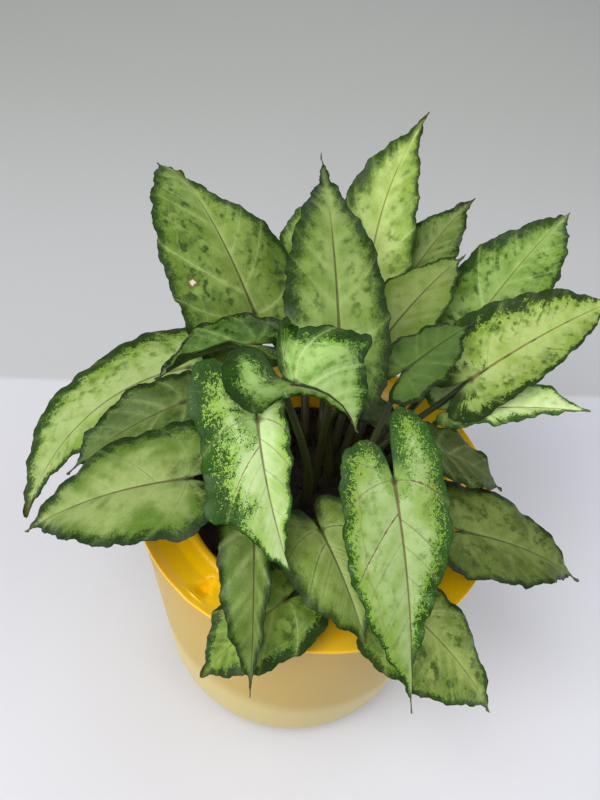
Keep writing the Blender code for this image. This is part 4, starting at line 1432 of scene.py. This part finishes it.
def wall_profile(top, inset, floor):
    """One face of the outer pot's wall, from near its top down and round the foot."""
    levels = np.arange(top, POT_BASE_ROUND, -OUTER_BAND)
    profile = [(outer_radius(height) - inset, height) for height in levels]
    middle = outer_radius(POT_BASE_ROUND) - inset
    bend = POT_BASE_ROUND - inset
    for turn in np.linspace(0.0, 0.5 * math.pi, OUTER_FOOT_RINGS):
        radius = middle - bend * (1.0 - math.cos(turn))
        profile.append((radius, floor + bend * (1.0 - math.sin(turn))))
    return profile


def make_outer_pot():
    rim = POT_HEIGHT - COLLAR_EDGE - FIT_GAP
    radius = outer_radius(rim)
    profile = [
        (radius - OUTER_RIM_ROUND, rim),
        *wall_profile(rim - OUTER_RIM_ROUND, 0.0, 0.0),
        (0.0, 0.0),
        (0.0, OUTER_FLOOR),
        *wall_profile(rim - OUTER_RIM_ROUND, OUTER_WALL, OUTER_FLOOR)[::-1],
        (radius - OUTER_WALL + OUTER_RIM_ROUND, rim),
    ]
    piece = turned("outer_pot_look", profile, frosted_material(), OUTER_SIDES)
    stand_for(piece, "outer_pot")


def inlet_dent(angle, radius, height):
    """Presses the collar down in a wedge that widens towards the rim."""
    start, _, outer = INLET_RADII
    if radius <= start or height < POT_HEIGHT - 8.0:
        return np.zeros(3)
    if radius > POT_RADIUS - OUTER_WALL - 1.2 and height < POT_HEIGHT - 1.0:
        return np.zeros(3)
    offset = math.radians((angle - INLET_ANGLE + 180.0) % 360.0 - 180.0) * radius
    outward = min(1.0, (radius - start) / (outer - start))
    reach = min(1.0, abs(offset) / (INLET_HALF_WIDTH * outward))
    depth = np.interp(radius, INLET_RADII, (0.0, INLET_DEPTH, INLET_RIM_DEPTH))
    blunt = 1.0 - math.sqrt(reach ** 2 + INLET_BLUNTNESS * (1.0 - reach) ** 2)
    down = depth * max(0.0, blunt)
    inwards = INLET_LEAN * down if radius < outer + 1.0 else 0.0
    turn = math.radians(angle)
    return np.array([-inwards * math.cos(turn), -inwards * math.sin(turn), -down])


def make_inner_pot():
    top = POT_HEIGHT
    seat = top - COLLAR_EDGE
    skirt = outer_radius(seat) - OUTER_WALL - FIT_GAP
    floor = CUP_FLOOR_HEIGHT
    corners = [
        (POT_RADIUS, top),
        (POT_RADIUS, seat),
        (skirt, seat),
        (skirt - 0.2, seat - COLLAR_SKIRT),
        (skirt - 1.6, seat - COLLAR_SKIRT),
        (INLET_RADII[1], top - COLLAR_VALLEY - 1.2),
        (CUP_TOP_RADIUS + 1.0, top - COLLAR_VALLEY - 3.2),
        (CUP_FLOOR_RADIUS + CUP_WALL, floor + CUP_CORNER),
        (CUP_FLOOR_RADIUS, floor - CUP_WALL),
        (WICK_RADIUS + FIT_GAP, floor - CUP_WALL),
        (WICK_RADIUS + FIT_GAP, floor),
        (CUP_FLOOR_RADIUS - 1.0, floor),
        (CUP_FLOOR_RADIUS, floor + CUP_CORNER),
        (CUP_TOP_RADIUS - CUP_WALL, top - CUP_TOP_DROP),
        *[(LIP_RADIUS + out, top + rise) for out, rise in LIP_PROFILE],
        (LIP_RADIUS + 6.0, top - COLLAR_VALLEY + 0.2),
        (INLET_RADII[1], top - COLLAR_VALLEY + 0.6),
        (POT_RADIUS - 4.0, top - COLLAR_VALLEY + 1.0),
    ]
    profile = rounded(corners, INSERT_ROUND)
    # More rings on the collar, so that the inlet's dent comes out fine
    fine = []
    for place, after in zip(profile, profile[1:] + profile[:1]):
        fine.append(place)
        gap = math.dist(place, after)
        radius, height = (min(pair) for pair in zip(place, after))
        on_collar = radius > LIP_RADIUS and height > top - COLLAR_FINE_DEPTH
        parts = int(gap / COLLAR_RING_GAP) if on_collar and gap > COLLAR_WIDEST_GAP else 1
        for part in range(1, parts):
            t = part / parts
            fine.append(tuple(a * (1 - t) + b * t for a, b in zip(place, after)))
    piece = turned("inner_pot_look", fine, yellow_material(), INNER_SIDES, inlet_dent, sharp=50.0)
    stand_for(piece, "inner_pot")


def ripple(x, y):
    """Small uneven lumps, from waves in several directions."""
    total = np.zeros_like(x)
    for number in range(9):
        turn = 2.4 * number + 0.7
        size = 1.1 * 1.33 ** number
        wave = x * math.cos(turn) + y * math.sin(turn)
        cross = y * math.cos(turn) - x * math.sin(turn)
        phase = wave / size * 2.0 + 1.7 * number + 1.2 * np.sin(cross / size)
        total += np.sin(phase) * size ** 0.7
    return total / 12.0


def make_soil():
    """The soil as one crumbly solid, with loose crumbs half sunk into it."""
    edge = soil_radius(SOIL_EDGE_HEIGHT)
    radii = np.linspace(0.0, 1.0, SOIL_RINGS) ** SOIL_CROWDING * edge
    turn = 2.0 * math.pi * np.arange(SOIL_SIDES) / SOIL_SIDES
    parts = []
    for radius in radii[1:]:
        x = radius * np.cos(turn)
        y = radius * np.sin(turn)
        base = np.array([soil_height(a, b) for a, b in zip(x, y)])
        inward = clamp((edge - radius) / SOIL_EDGE_SPAN)
        rough = SOIL_ROUGH_AT_EDGE + (1.0 - SOIL_ROUGH_AT_EDGE) * inward
        parts.append(ring_points(radius, base + SOIL_ROUGH * ripple(x, y) * rough, turn))
    low = CUP_FLOOR_HEIGHT + SOIL_FOOT_RISE
    parts.append(ring_points(soil_radius(low), low, turn))
    foot = CUP_FLOOR_RADIUS - SOIL_FOOT_INSET
    parts.append(ring_points(foot, CUP_FLOOR_HEIGHT + FIT_GAP, turn))
    faces = ring_faces(len(parts), SOIL_SIDES, inwards=True)
    crumb, crumb_faces = crumb_shape()
    rng = np.random.default_rng(CRUMB_SEED)
    count = len(parts) * SOIL_SIDES
    for _ in range(CRUMBS):
        radius = (edge - 2.0) * math.sqrt(rng.random())
        angle = 2.0 * math.pi * rng.random()
        x = radius * math.cos(angle)
        y = radius * math.sin(angle)
        size = CRUMB_SIZES[0] + (CRUMB_SIZES[1] - CRUMB_SIZES[0]) * rng.random() ** 2
        stretch = size * (0.6 + 0.6 * rng.random(3))
        spin = Matrix.Rotation(6.28 * rng.random(), 3, Vector(rng.normal(size=3)))
        lump = 1.0 + CRUMB_LUMP * rng.normal(size=len(crumb))
        level = soil_height(x, y) + SOIL_ROUGH * float(ripple(np.array(x), np.array(y)))
        middle = np.array([x, y, level + CRUMB_RISE * size])
        own = (crumb * lump[:, None] * stretch) @ np.array(spin).T + middle
        faces += [tuple(v + count for v in face) for face in crumb_faces]
        parts.append(own)
        count += len(own)
    piece = new_piece("soil_look", np.concatenate(parts), faces, [soil_material()], sharp=180.0)
    stand_for(piece, "soil")


def crumb_shape():
    """A ball of 20 faces, each split in four."""
    golden = (1.0 + 5.0 ** 0.5) / 2.0
    points = []
    for a in (-1.0, 1.0):
        for b in (-golden, golden):
            points += [(0.0, a, b), (a, b, 0.0), (b, 0.0, a)]
    points = [unit(np.array(p)) for p in points]
    near = min(math.dist(points[0], point) for point in points[1:]) * 1.1
    triangles = []
    for a, b, c in combinations(range(len(points)), 3):
        if max(math.dist(points[i], points[j]) for i, j in ((a, b), (b, c), (a, c))) < near:
            normal = np.cross(points[b] - points[a], points[c] - points[a])
            triangles.append((a, b, c) if normal @ points[a] > 0.0 else (a, c, b))
    halfway = {}

    def middle(a, b):
        key = (min(a, b), max(a, b))
        if key not in halfway:
            halfway[key] = len(points)
            points.append(unit(points[a] + points[b]))
        return halfway[key]

    faces = []
    for a, b, c in triangles:
        ab = middle(a, b)
        bc = middle(b, c)
        ca = middle(c, a)
        faces += [(a, ab, ca), (b, bc, ab), (c, ca, bc), (ab, bc, ca)]
    return np.array(points), faces


def make_wick():
    path = np.zeros((WICK_STEPS, 3))
    path[:, 2] = np.linspace(WICK_FOOT, WICK_TOP, WICK_STEPS)
    radii = np.full(WICK_STEPS, WICK_RADIUS / (1.0 + WICK_RELIEF))
    twist = 2.0 * math.pi * WICK_TURNS / (WICK_TOP - WICK_FOOT) * WICK_STRANDS
    points, faces, _ = tube(path, radii, WICK_SIDES, WICK_STRANDS, WICK_RELIEF, twist)
    piece = new_piece("wick_look", points, faces, [cotton_material()])
    stand_for(piece, "wick")


def make_floor():
    corners = [(-1.0, -1.0, 0.0), (1.0, -1.0, 0.0), (1.0, 1.0, 0.0), (-1.0, 1.0, 0.0)]
    points = np.array(corners) * FLOOR_SIZE / 2.0
    piece = new_piece("floor", points, [(0, 1, 2, 3)], [floor_material()])
    piece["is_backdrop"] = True


def make_lights():
    for name, (place, aim, size, power, colour) in LAMPS.items():
        light = bpy.data.lights.new(name, "AREA")
        light.shape = "DISK"
        light.size = size * MM
        light.energy = power
        light.color = colour
        direction = Vector(aim) - Vector(place)
        lamp = new_object(name, light)
        lamp.location = Vector(place) * MM
        lamp.rotation_euler = direction.to_track_quat("-Z", "Y").to_euler()
    world = bpy.data.worlds.new("studio")
    world.use_nodes = True
    background = world.node_tree.nodes["Background"]
    background.inputs["Color"].default_value = SURROUND_COLOUR
    background.inputs["Strength"].default_value = SURROUND_STRENGTH
    bpy.context.scene.world = world


def make_camera():
    down = math.radians(CAMERA_DOWN)
    roll = math.radians(CAMERA_ROLL)
    ahead = Vector((0.0, math.cos(down), -math.sin(down)))
    level = Vector((1.0, 0.0, 0.0))
    upright = level.cross(ahead)
    right = level * math.cos(roll) + upright * math.sin(roll)
    up = upright * math.cos(roll) - level * math.sin(roll)
    data = bpy.data.cameras.new("camera")
    data.lens = CAMERA_LENS
    data.sensor_fit = "VERTICAL"
    data.sensor_height = CAMERA_SENSOR
    data.sensor_width = CAMERA_SENSOR
    data.clip_start = CAMERA_NEAR * MM
    camera = new_object("camera", data)
    turn = Matrix((right, up, -ahead)).transposed().to_4x4()
    camera.matrix_world = Matrix.Translation(Vector(CAMERA_PLACE) * MM) @ turn
    bpy.context.scene.camera = camera


make_camera()
make_floor()
make_lights()
make_outer_pot()
make_inner_pot()
make_soil()
make_wick()
petiole = petiole_material()
for number, leaf in enumerate(LEAVES):
    make_leaf(leaf, number, petiole)
bpy.context.scene.view_settings.view_transform = "Standard"

bpy.context.view_layer.update()
sizes = {"cad": cad_bounds, "visual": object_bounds()}
{key: [list(corner) for corner in box] for key, box in sizes.items()}
